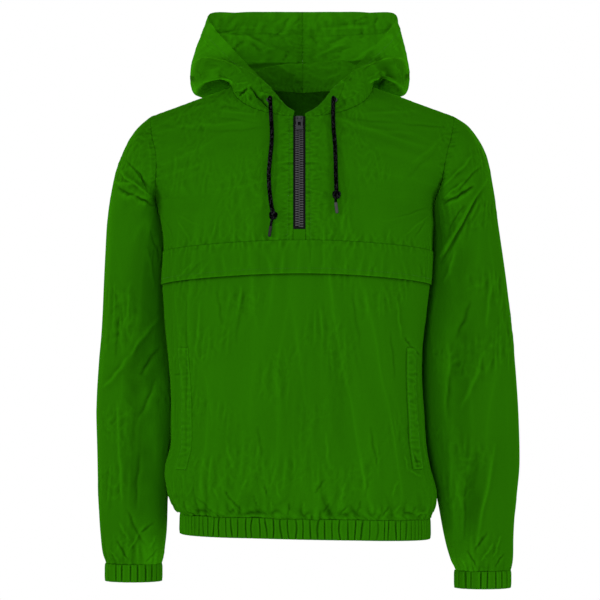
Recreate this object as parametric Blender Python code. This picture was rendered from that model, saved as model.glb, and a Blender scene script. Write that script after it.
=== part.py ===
"""Half-zip hooded anorak pullover, filled out as it is worn. Metres, +Z up, front towards -Y.

The origin is at the base of the neck, level with the shoulder line. +X is the wearer's left.
Every cloth piece is a thin wall on a surface function: body(), hood() or sleeve().
"""
import math
from collections import namedtuple

import bmesh
import bpy
from mathutils import Matrix, Vector

# ---------------------------------------------------------------- driving sizes
WALL = 0.0015            # cloth wall
SEAM = 0.0003            # gap between sewn pieces
HALF_SEAM = SEAM / 2
SEAM_STEP = 1e-3         # share of a panel's edge over which its direction is measured
ROUND = 2.4              # squareness of the body's cross-section (2 is an ellipse)
PATCH_PROUD = 0.0002     # extra height of cloth that is sewn on another piece
SHARP_EDGE = 50          # degrees between faces from which an edge is shaded sharp

NECK_HALF = 0.108        # centre of the neck to where the neckline meets the shoulder seam
NECK_DROP_FRONT = 0.0495
NECK_DROP_BACK = 0.004
SHOULDER_HALF = 0.234    # centre of the neck to the shoulder point
SHOULDER_SLOPE = 0.365   # fall for each metre outwards
SHOULDER_Z = -SHOULDER_SLOPE * (SHOULDER_HALF - NECK_HALF)
SHOULDER_ROLL = 0.130    # height over which the chest and back round over to the shoulder seam
ARMPIT_Z = -0.174

HEM_SEAM_Z = -0.6580     # where the body is gathered to the waistband, at the centre
HEM_FALL = 0.0042        # the waistband falls this much from the centre to the wearer's left
HEM_BAND = 0.0305
HEM_GATHERS = 110
HEM_GATHER_DEPTH = 0.0010                # each gather's height and depth on the waistband
BODY_GATHER_DEPTH = 0.0012               # the same on the cloth that is sewn to it
BAND_SHAPE_DOWN = 0.020  # below the seam, where the body's outline shapes the whole waistband
CUFF_BAND = 0.0265
CUFF_GATHERS = 22
CUFF_GATHER_DEPTH = 0.0011

FLAP_SEAM_Z = -0.2378    # at the centre; the seam falls towards the sides
FLAP_DROP = 0.0163       # fall of the seam from the centre to the side seam
FLAP_HEIGHT = 0.0497
FLAP_FLARE = 0.0045      # how far the free edge stands off the pocket front

ZIP_X = -0.0048          # the zip sits a little to the wearer's right
ZIP_HALF = 0.0093        # half the slit that the zip fills
ZIP_BOTTOM_Z = -0.2212
TAPE_DEPTH = 0.0004      # the zip tape's face lies this far inside the yoke's
TAPE_WALL = 0.0010
CHAIN_HALF = 0.0045
CHAIN_THICK = 0.0022
CHAIN_FOOT = 0.0015      # the chain starts this far above the slit's foot
STRIP_ROWS = 10          # rows of the zip's long strips
SLIDER_SIZE = (0.0115, 0.0046, 0.0100)   # across, thick, along the zip
SLIDER_BELOW = 0.0010    # slider's top below the neckline
SLIDER_EDGE = 0.0012
EAR_SIZE = (0.0011, 0.0040, 0.0030)      # the slider's two ears, which hold the pin
EAR_HALF_GAP = 0.0023    # centre to an ear's inner face
PIN_RADIUS = 0.0006      # the slider's bridge pin, on which the pull tab turns
PIN_ABOVE = 0.0012       # pin above the slider's middle
BARREL_RADIUS = 0.0014
BARREL_BORE = 0.0009
PULL_SIZE = (0.0103, 0.0016, 0.0215)
PULL_NECK = 0.0045       # narrow stretch between the barrel and the plate
PULL_WINDOW = (0.0046, 0.0070)           # across and along
PULL_WINDOW_DOWN = 0.0118                # pin to the window's middle

CORD = 0.0048            # drawcord diameter
CORD_STEP = 0.0110       # longest span of a cord's tube
HEADING_STEP = 0.001     # how far to each side a cord's direction is measured
KNOT = (0.0098, 0.0098, 0.0130)
TIP = 0.0046             # diameter of the hard tip on each drawcord
TIP_LENGTH = 0.0180
EYELET_OUTER = 0.0047
EYELET_INNER = 0.0029
EYELET_THICK = 0.0012
EYELET_LIFT = SEAM
EYELET_AT = {"left": (2.5, 6.5), "right": (2.3, 6.4)}    # the hood's column and row

# Each drawcord from its eyelet down the chest to the end of its tip, and how far down the
# knot's middle is.
CORD_ROUTE = {
    "left": [(0.0484, -0.0591, -0.0233), (0.0476, -0.0616, -0.0211), (0.0470, -0.0662, -0.0208),
             (0.0467, -0.0716, -0.0252), (0.0465, -0.0768, -0.0370), (0.0464, -0.0836, -0.0530),
             (0.0470, -0.0918, -0.0700), (0.0486, -0.1022, -0.0900), (0.0497, -0.1105, -0.1150),
             (0.0501, -0.1157, -0.1380), (0.0508, -0.1192, -0.1590), (0.0510, -0.1210, -0.1700),
             (0.0497, -0.1210, -0.1775), (0.0501, -0.1212, -0.1830), (0.0519, -0.1218, -0.1980)],
    "right": [(-0.0504, -0.0591, -0.0230), (-0.0496, -0.0616, -0.0209), (-0.0492, -0.0662, -0.0206),
              (-0.0489, -0.0716, -0.0251), (-0.0484, -0.0768, -0.0370), (-0.0476, -0.0836, -0.0530),
              (-0.0464, -0.0930, -0.0720), (-0.0468, -0.1028, -0.0920), (-0.0490, -0.1108, -0.1150),
              (-0.0508, -0.1158, -0.1380), (-0.0498, -0.1188, -0.1620), (-0.0466, -0.1216, -0.1880),
              (-0.0440, -0.1236, -0.1997), (-0.0466, -0.1234, -0.2100), (-0.0476, -0.1234, -0.2160),
              (-0.0501, -0.1238, -0.2332)],
}
KNOT_DOWN = {"left": 0.1690, "right": 0.2010}

BodyRow = namedtuple("BodyRow", "z left right front back")
BODY = [                 # half widths to each side, and depths to the front and back
    BodyRow(0.040, 0.280, 0.280, 0.072, 0.076),
    BodyRow(-0.045, 0.275, 0.275, 0.085, 0.090),
    BodyRow(-0.110, 0.258, 0.262, 0.106, 0.104),
    BodyRow(ARMPIT_Z, 0.2045, 0.2262, 0.117, 0.111),
    BodyRow(-0.215, 0.2010, 0.2155, 0.120, 0.111),
    BodyRow(-0.255, 0.1982, 0.2120, 0.122, 0.109),
    BodyRow(-0.305, 0.1945, 0.2130, 0.123, 0.106),
    BodyRow(-0.350, 0.1887, 0.2105, 0.124, 0.104),
    BodyRow(-0.400, 0.1835, 0.2065, 0.124, 0.102),
    BodyRow(-0.450, 0.1832, 0.2022, 0.123, 0.102),
    BodyRow(-0.500, 0.1855, 0.2003, 0.123, 0.104),
    BodyRow(-0.550, 0.1890, 0.2015, 0.124, 0.108),
    BodyRow(-0.585, 0.1955, 0.2105, 0.125, 0.113),
    BodyRow(-0.620, 0.2045, 0.2085, 0.124, 0.115),
    BodyRow(-0.640, 0.2040, 0.2020, 0.120, 0.112),
    BodyRow(-0.660, 0.1965, 0.1890, 0.112, 0.104),
    BodyRow(-0.700, 0.1965, 0.1887, 0.111, 0.103),
]

ArmholeRow = namedtuple("ArmholeRow", "z left right")
ARMHOLE = [              # distance of the armhole seam from the centre, by height
    ArmholeRow(SHOULDER_Z, SHOULDER_HALF, SHOULDER_HALF),
    ArmholeRow(-0.078, 0.2275, 0.2300),
    ArmholeRow(-0.102, 0.2205, 0.2240),
    ArmholeRow(-0.125, 0.2160, 0.2226),
    ArmholeRow(-0.150, 0.2120, 0.2240),
    ArmholeRow(ARMPIT_Z, 0.2045, 0.2262),
]

# Ridges (depth above 0) and troughs in the body cloth: a line from low to high, its half width
# and its depth. The back has the same long folds, moved a little.
Fold = namedtuple("Fold", "x_low z_low x_high z_high width depth")
BODY_FOLDS = [
    Fold(-0.150, -0.640, -0.075, -0.420, 0.012, 0.0044),
    Fold(-0.110, -0.650, -0.050, -0.360, 0.014, 0.0040),
    Fold(-0.062, -0.655, -0.030, -0.430, 0.011, -0.0040),
    Fold(-0.020, -0.655, -0.012, -0.330, 0.014, 0.0044),
    Fold(0.022, -0.655, 0.004, -0.400, 0.011, -0.0042),
    Fold(0.060, -0.650, 0.016, -0.340, 0.013, 0.0044),
    Fold(0.095, -0.650, 0.034, -0.320, 0.012, -0.0038),
    Fold(0.128, -0.640, 0.052, -0.310, 0.014, 0.0044),
    Fold(0.160, -0.600, 0.110, -0.400, 0.012, -0.0034),
    Fold(0.205, -0.150, 0.110, -0.225, 0.012, 0.0036),
    Fold(-0.215, -0.150, -0.150, -0.215, 0.012, 0.0032),
    Fold(-0.190, -0.085, -0.060, -0.110, 0.014, 0.0022),
    Fold(0.190, -0.080, 0.060, -0.112, 0.014, 0.0022),
]
BACK_SHIFT = 0.018
FOLD_EDGE = 0.35         # cosine of the body's angle from which folds fade out towards the sides
FOLD_TAPER = 0.7         # how quickly a fold rises from its ends

SleeveRow = namedtuple("SleeveRow", "inner_x inner_z outer_x outer_z middle_y front back")
SLEEVE_LEFT = [          # past the armhole: each ring's inner and outer point, middle and depths
    SleeveRow(0.2100, -0.183, 0.2585, -0.0635, 0.006, 0.0695, 0.0695),
    SleeveRow(0.2050, -0.199, 0.2815, -0.1000, 0.016, 0.0785, 0.0775),
    SleeveRow(0.2005, -0.218, 0.2940, -0.1480, 0.025, 0.0815, 0.0795),
    SleeveRow(0.1965, -0.250, 0.3030, -0.2050, 0.032, 0.0785, 0.0775),
    SleeveRow(0.1925, -0.300, 0.3148, -0.2850, 0.036, 0.0735, 0.0725),
    SleeveRow(0.1865, -0.365, 0.3243, -0.3700, 0.036, 0.0695, 0.0685),
    SleeveRow(0.1820, -0.430, 0.3312, -0.4450, 0.036, 0.0665, 0.0655),
    SleeveRow(0.1845, -0.500, 0.3352, -0.5100, 0.034, 0.0635, 0.0635),
    SleeveRow(0.1930, -0.570, 0.3357, -0.5800, 0.029, 0.0605, 0.0605),
    SleeveRow(0.2075, -0.630, 0.3305, -0.6350, 0.023, 0.0555, 0.0555),
    SleeveRow(0.2180, -0.685, 0.3260, -0.6900, 0.016, 0.0495, 0.0495),
    SleeveRow(0.2275, -0.727, 0.3240, -0.7270, 0.010, 0.0425, 0.0425),
    SleeveRow(0.2345, -0.7440, 0.3212, -0.7440, 0.008, 0.0355, 0.0355),
]
SLEEVE_RIGHT = [
    SleeveRow(0.2300, -0.183, 0.2575, -0.0680, 0.006, 0.0695, 0.0695),
    SleeveRow(0.2238, -0.199, 0.2765, -0.1000, 0.014, 0.0785, 0.0775),
    SleeveRow(0.2175, -0.218, 0.2925, -0.1450, 0.023, 0.0815, 0.0795),
    SleeveRow(0.2120, -0.250, 0.3015, -0.2050, 0.031, 0.0785, 0.0775),
    SleeveRow(0.2115, -0.300, 0.3065, -0.2850, 0.036, 0.0735, 0.0725),
    SleeveRow(0.2080, -0.365, 0.3105, -0.3700, 0.036, 0.0695, 0.0685),
    SleeveRow(0.2035, -0.430, 0.3170, -0.4450, 0.036, 0.0665, 0.0655),
    SleeveRow(0.2000, -0.500, 0.3195, -0.5000, 0.034, 0.0635, 0.0635),
    SleeveRow(0.2095, -0.565, 0.3180, -0.5650, 0.029, 0.0605, 0.0605),
    SleeveRow(0.2080, -0.625, 0.3165, -0.6250, 0.023, 0.0555, 0.0555),
    SleeveRow(0.2100, -0.680, 0.3135, -0.6800, 0.016, 0.0485, 0.0485),
    SleeveRow(0.2140, -0.715, 0.3095, -0.7150, 0.010, 0.0425, 0.0425),
    SleeveRow(0.2170, -0.7335, 0.3040, -0.7335, 0.008, 0.0355, 0.0355),
]
SLEEVE_FOLDS = {         # seen from the front; x is the distance from the centre
    "left": [
        Fold(0.206, -0.267, 0.283, -0.140, 0.017, 0.0080),
        Fold(0.214, -0.290, 0.296, -0.172, 0.018, -0.0064),
        Fold(0.212, -0.181, 0.265, -0.150, 0.014, 0.0054),
        Fold(0.286, -0.455, 0.300, -0.314, 0.020, 0.0054),
        Fold(0.225, -0.460, 0.262, -0.330, 0.022, -0.0054),
        Fold(0.262, -0.715, 0.294, -0.544, 0.017, 0.0064),
        Fold(0.245, -0.700, 0.259, -0.550, 0.017, -0.0058),
    ],
    "right": [
        Fold(0.224, -0.187, 0.289, -0.149, 0.017, 0.0074),
        Fold(0.230, -0.170, 0.271, -0.102, 0.014, -0.0054),
        Fold(0.232, -0.215, 0.296, -0.200, 0.020, -0.0061),
        Fold(0.308, -0.462, 0.218, -0.355, 0.021, 0.0074),
        Fold(0.262, -0.491, 0.215, -0.432, 0.020, -0.0064),
        Fold(0.230, -0.620, 0.236, -0.485, 0.020, -0.0058),
        Fold(0.262, -0.700, 0.275, -0.560, 0.017, 0.0054),
    ],
}
SLEEVE_ROWS_PER_RING = 2

# Hood profile in upright planes turned about the neck's axis, from the front (0) to the back
# (180): distance out and height of the stand's crest, the pouch's lowest point, its outer side
# and the brim.
HoodRow = namedtuple("HoodRow", "angle crest crest_z pouch pouch_z side side_z brim brim_z")
HOOD = [
    HoodRow(3, 0.0795, -0.0480, 0.0792, -0.0470, 0.0786, -0.0460, 0.0775, -0.0450),
    HoodRow(25, 0.0790, -0.0420, 0.0745, -0.0370, 0.0680, -0.0330, 0.0610, -0.0305),
    HoodRow(45, 0.0880, -0.0300, 0.0800, -0.0210, 0.0680, -0.0160, 0.0550, -0.0150),
    HoodRow(65, 0.1080, -0.0040, 0.1050, 0.0100, 0.0850, 0.0170, 0.0563, -0.0008),
    HoodRow(90, 0.1200, 0.0150, 0.1430, 0.0100, 0.1350, 0.0430, 0.0700, 0.0192),
    HoodRow(108, 0.1180, 0.0200, 0.1700, -0.0030, 0.1720, 0.0450, 0.1010, 0.0480),
    HoodRow(120, 0.1080, 0.0250, 0.1830, -0.0090, 0.1920, 0.0480, 0.1712, 0.1140),
    HoodRow(140, 0.0930, 0.0370, 0.1580, -0.0220, 0.1800, 0.0420, 0.1560, 0.1250),
    HoodRow(160, 0.0835, 0.0420, 0.1440, -0.0280, 0.1730, 0.0370, 0.1520, 0.1280),
    HoodRow(180, 0.0800, 0.0420, 0.1400, -0.0300, 0.1710, 0.0370, 0.1550, 0.1290),
]
HOOD_RISE = 0.006        # the hood leaves the neck seam straight up
HOOD_KNOTS = [0.0, 0.05, 0.19, 0.43, 0.66, 1.0]  # v at seam, rise, crest, pouch, side and brim
HOOD_WIDER = {"left": 0.965, "right": 1.02}
CASING_FROM = 0.86       # from here to the brim the hem is turned in and the wall is thicker
CASING_WALL = 0.0028

WELT_HALF = 0.010        # side pocket welt
WELT_TOP_Z = -0.399
WELT_BOTTOM_Z = -0.585
WELT_ANGLE = {"left": 1.02, "right": -0.98}
WELT_RADIUS = 0.13       # the body's radius where the welts lie
WELT_FACE = 0.0032       # faces of the welt above the pocket front's face
WELT_BACK = 0.0014

# Columns and rows of the cloth walls.
NECK_COLUMNS_FRONT = 7
NECK_COLUMNS_BACK = 9
SHOULDER_COLUMNS = 4
ARMHOLE_ROWS = 10
YOKE_SIDE_ROWS = 2
BACK_SIDE_ROWS = 7
LOWER_COLUMNS = 40
LOWER_ROWS = 8
HOOD_COLUMNS = NECK_COLUMNS_FRONT + NECK_COLUMNS_BACK
HOOD_ROWS = 14

SIDES = {"left": 1, "right": -1}


# ---------------------------------------------------------------- small helpers
def mix(a, b, t):
    return a + (b - a) * t


def read(rows, key, column, at):
    """Smooth value of a table's column where its key column is `at` (Catmull-Rom)."""
    keys = [getattr(row, key) for row in rows]
    values = [getattr(row, column) for row in rows]
    return spline(keys, values, at)


def spline(keys, values, at):
    """Smooth curve through values at rising or falling keys, held past its two ends."""
    if keys[0] > keys[-1]:
        keys, values = keys[::-1], values[::-1]
    at = min(max(at, keys[0]), keys[-1])
    last = len(keys) - 1
    i = max(j for j in range(last) if keys[j] <= at)
    step = keys[i + 1] - keys[i]
    t = (at - keys[i]) / step

    def slope(j):
        low, high = max(j - 1, 0), min(j + 1, last)
        return (values[high] - values[low]) / (keys[high] - keys[low])

    a, b = values[i], values[i + 1]
    da, db = slope(i) * step, slope(i + 1) * step
    return (a + da * t + (3 * (b - a) - 2 * da - db) * t * t
            + (2 * (a - b) + da + db) * t ** 3)


def material(name, colour, roughness, metallic=0.0):
    made = bpy.data.materials.new(name)
    made.use_nodes = True
    shader = made.node_tree.nodes["Principled BSDF"]
    shader.inputs["Base Color"].default_value = (*colour, 1.0)
    shader.inputs["Roughness"].default_value = roughness
    shader.inputs["Metallic"].default_value = metallic
    made.diffuse_color = (*colour, 1.0)
    return made


def add_object(name, verts, faces, finish):
    mesh = bpy.data.meshes.new(name)
    mesh.from_pydata([tuple(v) for v in verts], [], faces)
    mesh.materials.append(finish)
    mesh.shade_smooth()
    mesh.set_sharp_from_angle(angle=math.radians(SHARP_EDGE))
    made = bpy.data.objects.new(name, mesh)
    bpy.context.collection.objects.link(made)
    return made


def face_outwards(made):
    """Turn a closed mesh's faces outwards."""
    edit = bmesh.new()
    edit.from_mesh(made.data)
    bmesh.ops.recalc_face_normals(edit, faces=edit.faces)
    edit.to_mesh(made.data)
    edit.free()


def surface_normal(surface, u, v, step=1e-4):
    """Unit normal of surface(u, v), whose parameters run from 0 to 1 (u may wrap)."""
    low_u, high_u = u - step, u + step
    if not surface.wraps:
        low_u, high_u = max(low_u, 0.0), min(high_u, 1.0)
    low_v, high_v = max(v - step, 0.0), min(v + step, 1.0)
    along = surface(high_u, v) - surface(low_u, v)
    up = surface(u, high_v) - surface(u, low_v)
    return along.cross(up).normalized()


def unchanged(u, v, out):
    return out


class Surface:
    """A surface function, the side that faces out, and how its normals are squared at a seam."""

    def __init__(self, point, wraps=False, outward=1, square=unchanged):
        self.point, self.wraps, self.outward, self.square = point, wraps, outward, square

    def __call__(self, u, v):
        return self.point(u, v)

    def out(self, u, v):
        """Unit normal on the side that faces out."""
        return self.square(u, v, self.outward * surface_normal(self, u, v)).normalized()

    def moved(self, u, v, distance):
        """The point at distance outside the surface."""
        return self(u, v) + self.out(u, v) * distance


def wall(name, surface, columns, rows, finish, outer=None, inner=None):
    """A closed wall on a surface: outer(u, v) and inner(u, v) are distances from it."""
    outer = outer or (lambda u, v: 0.0)
    inner = inner or (lambda u, v: outer(u, v) - WALL)
    across, up = len(columns), len(rows)
    verts = [surface.moved(u, v, outer(u, v)) for v in rows for u in columns]
    verts += [surface.moved(u, v, inner(u, v)) for v in rows for u in columns]
    back = across * up
    faces = []
    spans = across if surface.wraps else across - 1

    def at(column, row):
        return row * across + column % across

    for row in range(up - 1):
        for column in range(spans):
            quad = (at(column, row), at(column + 1, row), at(column + 1, row + 1), at(column, row + 1))
            faces.append(quad)
            faces.append(tuple(back + i for i in reversed(quad)))
    for row in (0, up - 1):
        for column in range(spans):
            a, b = at(column, row), at(column + 1, row)
            faces.append((b, a, back + a, back + b))
    if not surface.wraps:
        for column in (0, across - 1):
            for row in range(up - 1):
                a, b = at(column, row), at(column, row + 1)
                faces.append((a, b, back + b, back + a))
    made = add_object(name, verts, faces, finish)
    face_outwards(made)
    return made


def even(count):
    return [i / count for i in range(count + 1)]


# ---------------------------------------------------------------- body form
def side_name(x):
    return "left" if x >= 0 else "right"


def half_width(side, z):
    return read(BODY, "z", side, z)


def shoulder_line(x):
    """Height of the shoulder seam, carried on inwards over the neck."""
    return SHOULDER_SLOPE * (NECK_HALF - abs(x))


def shoulder_round(x, z):
    """Share of the depth left where the cloth rounds over to the shoulder seam."""
    below = min(max((shoulder_line(x) - z) / SHOULDER_ROLL, 0.0), 1.0)
    return math.sqrt(1 - (1 - below) ** 2)


def fold_height(x, z, folds, shift=0.0):
    """Sum of the ridges and troughs at a place on the body."""
    height = 0.0
    for fold in folds:
        low = Vector((fold.x_low + shift, fold.z_low))
        line = Vector((fold.x_high + shift, fold.z_high)) - low
        place = Vector((x, z)) - low
        along = place.dot(line) / line.length_squared
        if 0 < along < 1:
            off = (place - line * along).length / fold.width
            height += fold.depth * math.sin(math.pi * along) ** FOLD_TAPER * math.exp(-off * off)
    return height


def body(angle, z, facing):
    """Point on the body: angle from the centre line, facing -1 for the front and 1 for the back."""
    sine, cosine = math.sin(angle), math.cos(angle)
    reach = (abs(sine) ** ROUND + abs(cosine) ** ROUND) ** (-1 / ROUND)
    x = half_width(side_name(sine), z) * sine * reach
    depth = read(BODY, "z", "front" if facing < 0 else "back", z)
    rounding = shoulder_round(x, z)
    edge = min(1.0, abs(cosine) / FOLD_EDGE)
    folds = fold_height(x, z, BODY_FOLDS, 0.0 if facing < 0 else BACK_SHIFT)
    y = (depth * cosine * reach + folds * edge) * rounding + HALF_SEAM
    return Vector((x, facing * y, z))


def angle_at(x, z):
    """The body's angle where its half width is x at height z."""
    share = min(abs(x) / half_width(side_name(x), z), 1.0)
    return math.copysign(math.atan2(share, (1 - share ** ROUND) ** (1 / ROUND)), x)


def edge_x(side, z):
    """Distance of the side seam or armhole from the centre."""
    if z <= ARMPIT_Z:
        return half_width(side, z)
    return read(ARMHOLE, "z", side, z)


def neckline(x, facing):
    drop = NECK_DROP_FRONT if facing < 0 else NECK_DROP_BACK
    return -drop * math.sqrt(max(0.0, 1 - (x / NECK_HALF) ** 2))


def top_z(x, facing):
    """Height of a panel's top edge: neckline, then shoulder seam."""
    return neckline(x, facing) if abs(x) < NECK_HALF else shoulder_line(x)


def hem_seam_z(angle):
    return HEM_SEAM_Z - HEM_FALL * math.sin(angle)


def flap_seam_z(angle):
    return FLAP_SEAM_Z - FLAP_DROP * math.sin(angle) ** 2


def neck_x(side, share, facing):
    """Place on the neckline, 0 at its centre end and 1 at the shoulder seam."""
    start = 0.0 if facing > 0 else zip_edge(side)
    return SIDES[side] * mix(start, NECK_HALF, math.sin(share * math.pi / 2))


def zip_edge(side):
    return ZIP_HALF + SIDES[side] * ZIP_X


def armhole_share(row):
    """Height up the armhole of each row, 0 at the armpit: rows crowd towards both ends."""
    return (1 - math.cos(math.pi * row / ARMHOLE_ROWS)) / 2


def panel_top_x(side, column, neck_columns, facing):
    """Where a column of a panel ends on its top edge."""
    if column <= neck_columns:
        return neck_x(side, column / neck_columns, facing)
    share = (column - neck_columns) / SHOULDER_COLUMNS
    return SIDES[side] * mix(NECK_HALF, SHOULDER_HALF, share)


def panel_rows(side_rows):
    """A panel's rows: up the side seam in the lower half of v, up the armhole in the upper half."""
    below = [0.5 * i / side_rows for i in range(side_rows)]
    above = [mix(0.5, 1.0, armhole_share(row)) for row in range(ARMHOLE_ROWS + 1)]
    return below + above


def panel_z(low_z, high_z, v):
    """Height on a panel: every column passes the armpit's level at half of v."""
    if v < 0.5:
        return mix(low_z, ARMPIT_Z, v * 2)
    return mix(ARMPIT_Z, high_z, v * 2 - 1)


def upper_panel(side, neck_columns, facing, bottom, centre_x):
    """Surface of half a panel, from the centre to the side, bottom edge to neck and shoulder."""
    last = neck_columns + SHOULDER_COLUMNS
    sign = SIDES[side]
    foot_start = angle_at(centre_x, FLAP_SEAM_Z) if centre_x else 0.0

    def angles(z):
        start = angle_at(centre_x, z) if centre_x else 0.0
        return start, angle_at(sign * edge_x(side, min(z, SHOULDER_Z)), min(z, SHOULDER_Z))

    def point(u, v):
        column = u * last
        low = min(int(column), last - 1)
        top_x = mix(panel_top_x(side, low, neck_columns, facing),
                    panel_top_x(side, low + 1, neck_columns, facing), column - low)
        high_z = top_z(top_x, facing)
        low_z = bottom(mix(foot_start, sign * math.pi / 2, u)) + HALF_SEAM
        z = panel_z(low_z, high_z, v)
        start, edge = angles(z)
        top_start, top_edge = angles(high_z)
        top_share = (angle_at(top_x, high_z) - top_start) / (top_edge - top_start)
        return body(mix(start, edge, mix(u, top_share, v * v)), z, facing)

    return point


def panel_surface(side, facing):
    """Half of the yoke or of the back, u from the centre to the side, v from foot to top."""
    if facing < 0:
        point = upper_panel(side, NECK_COLUMNS_FRONT, -1, flap_seam_z, SIDES[side] * zip_edge(side))
    else:
        point = upper_panel(side, NECK_COLUMNS_BACK, 1, hem_seam_z, 0.0)
    return Surface(point, outward=-facing * SIDES[side])


def off_edge(panel, u, v, tangent):
    """Direction in a panel's surface, square to its edge and away from the panel.

    The tangent runs outwards along the neckline or down the armhole.
    """
    return (panel.outward * panel.out(u, v).cross(tangent)).normalized()


def squared_to_edge(out, away):
    """The outward direction turned so that the wall's end keeps off the panel it is sewn to."""
    return out - away * max(0.0, out.dot(away))


# ---------------------------------------------------------------- cloth panels
def make_yoke(side, finish):
    """Upper front, from the flap seam to the neckline, between the zip and the armhole."""
    columns = even(NECK_COLUMNS_FRONT + SHOULDER_COLUMNS)
    wall(f"front_yoke_{side}", panel_surface(side, -1), columns, panel_rows(YOKE_SIDE_ROWS), finish)


def make_back(finish):
    """One piece from the waistband to the back neckline and shoulders."""
    left, right = panel_surface("left", 1), panel_surface("right", 1)

    def point(u, v):
        across = 2 * u - 1
        return left(across, v) if across >= 0 else right(-across, v)

    rows = panel_rows(BACK_SIDE_ROWS)
    columns = 2 * (NECK_COLUMNS_BACK + SHOULDER_COLUMNS)
    wall("back", Surface(point, outward=-1), even(columns), rows, finish,
         outer=gathers(columns, rows[1]))


def ring_columns(count):
    return [i / count for i in range(count)]


def every_other(count, depth):
    """Columns of a ring that stand out and in by turns."""
    return lambda u, v: depth if round(u * count) % 2 else -depth


def gathers(columns, height):
    """Every other column stands out at the lower edge, fading over the given height."""
    def rise(u, v):
        fade = max(0.0, 1 - v / height)
        side = 1 if round(u * columns) % 2 else -1
        ends = 0.0 if u in (0.0, 1.0) else 1.0
        return BODY_GATHER_DEPTH * side * fade * ends
    return rise


def lower_front_surface():
    def point(u, v):
        angle = (2 * u - 1) * math.pi / 2
        z = mix(hem_seam_z(angle) + HALF_SEAM, flap_seam_z(angle) - HALF_SEAM, v)
        return body(angle, z, -1)
    return Surface(point, outward=1)


def make_lower_front(finish):
    """Pouch-pocket front below the flap seam, down to the waistband."""
    rows = even(LOWER_ROWS)
    rise = gathers(LOWER_COLUMNS, rows[1])
    wall("front_lower", lower_front_surface(), even(LOWER_COLUMNS), rows, finish, outer=rise)


def make_flap(finish):
    """Storm flap sewn across the chest; its lower edge is free over the pocket mouth."""
    def point(u, v):
        angle = (2 * u - 1) * math.pi / 2
        z = flap_seam_z(angle) - HALF_SEAM - FLAP_HEIGHT * (1 - v)
        return body(angle, z, -1)

    def outer(u, v):
        lift = (1 - v) * FLAP_FLARE * math.sin(u * math.pi)
        return WALL + SEAM + PATCH_PROUD + lift

    wall("pocket_flap", Surface(point, outward=1), even(LOWER_COLUMNS), even(2), finish, outer=outer)


def make_welt(side, finish):
    """Side pocket welt: a strip laid on the lower front near its side seam."""
    centre = WELT_ANGLE[side]

    def point(u, v):
        angle = centre + (u - 0.5) * 2 * WELT_HALF / WELT_RADIUS
        return body(angle, mix(WELT_BOTTOM_Z, WELT_TOP_Z, v), -1)

    wall(f"side_welt_{side}", Surface(point, outward=1), even(2), even(8), finish,
         outer=lambda u, v: WELT_FACE, inner=lambda u, v: WELT_BACK)


def make_waistband(finish):
    """Elastic waistband: an upright ring of gathers."""
    count = 2 * HEM_GATHERS

    def point(u, v):
        angle = u * 2 * math.pi
        facing = -1 if math.cos(angle) >= 0 else 1
        z = hem_seam_z(angle) - HALF_SEAM - HEM_BAND * (1 - v)
        body_angle = angle if facing < 0 else math.pi - angle
        outline = body(body_angle, HEM_SEAM_Z - BAND_SHAPE_DOWN, facing)
        return Vector((outline.x, outline.y, z))

    wall("waistband", Surface(point, wraps=True), ring_columns(count), [0.0, 1.0], finish,
         outer=every_other(count, HEM_GATHER_DEPTH))


# ---------------------------------------------------------------- sleeves
def sleeve_table(side):
    return SLEEVE_LEFT if side == "left" else SLEEVE_RIGHT


def sleeve(side):
    """Tube from the armhole to the cuff: u turns from the top over the front, v goes down."""
    rows = sleeve_table(side)
    sign = SIDES[side]
    panels = {facing: panel_surface(side, facing) for facing in (-1, 1)}

    def seam(turn):
        """The panel and its v where the armhole is at a turn, and the way off its edge."""
        panel = panels[-1 if math.sin(turn) >= 0 else 1]
        v = mix(0.5, 1.0, (1 + math.cos(turn)) / 2)
        high, low = min(v + SEAM_STEP, 1.0), max(v - SEAM_STEP, 0.5)
        return panel, v, off_edge(panel, 1.0, v, panel(1.0, low) - panel(1.0, high))

    def armhole(turn):
        panel, v, away = seam(turn)
        return panel(1.0, v) + away * SEAM

    def ring(turn, row):
        middle = Vector((row.inner_x + row.outer_x, 0, row.inner_z + row.outer_z)) / 2
        reach = (row.outer_x - row.inner_x) / 2, (row.outer_z - row.inner_z) / 2
        depth = row.front if math.sin(turn) >= 0 else row.back
        return Vector((sign * (middle.x + reach[0] * math.cos(turn)),
                       row.middle_y - depth * math.sin(turn),
                       middle.z + reach[1] * math.cos(turn)))

    def point(u, v):
        turn = u * 2 * math.pi
        low = min(max(int(v * len(rows)) - 1, 0), len(rows) - 3)
        keys = [k / len(rows) for k in range(low, low + 4)]
        places = [armhole(turn) if k == 0 else ring(turn, rows[k - 1]) for k in range(low, low + 4)]
        place = Vector([spline(keys, [p[axis] for p in places], v) for axis in range(3)])
        clear_of_seams = min(1.0, v * len(rows), (1 - v) * len(rows))
        folds = fold_height(abs(place.x), place.z, SLEEVE_FOLDS[side])
        place.y -= folds * clear_of_seams * math.sin(turn)
        return place

    def square(u, v, out):
        """Square to the armhole's edge, and level where the sleeve meets its cuff."""
        if v == 0.0:
            return squared_to_edge(out, seam(u * 2 * math.pi)[2])
        return Vector((out.x, out.y, 0)) if v == 1.0 else out

    return Surface(point, wraps=True, outward=SIDES[side], square=square)


def make_sleeve(side, finish):
    around = 2 * ARMHOLE_ROWS
    rows = even(SLEEVE_ROWS_PER_RING * len(sleeve_table(side)))
    wall(f"sleeve_{side}", sleeve(side), ring_columns(around), rows, finish)


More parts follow.
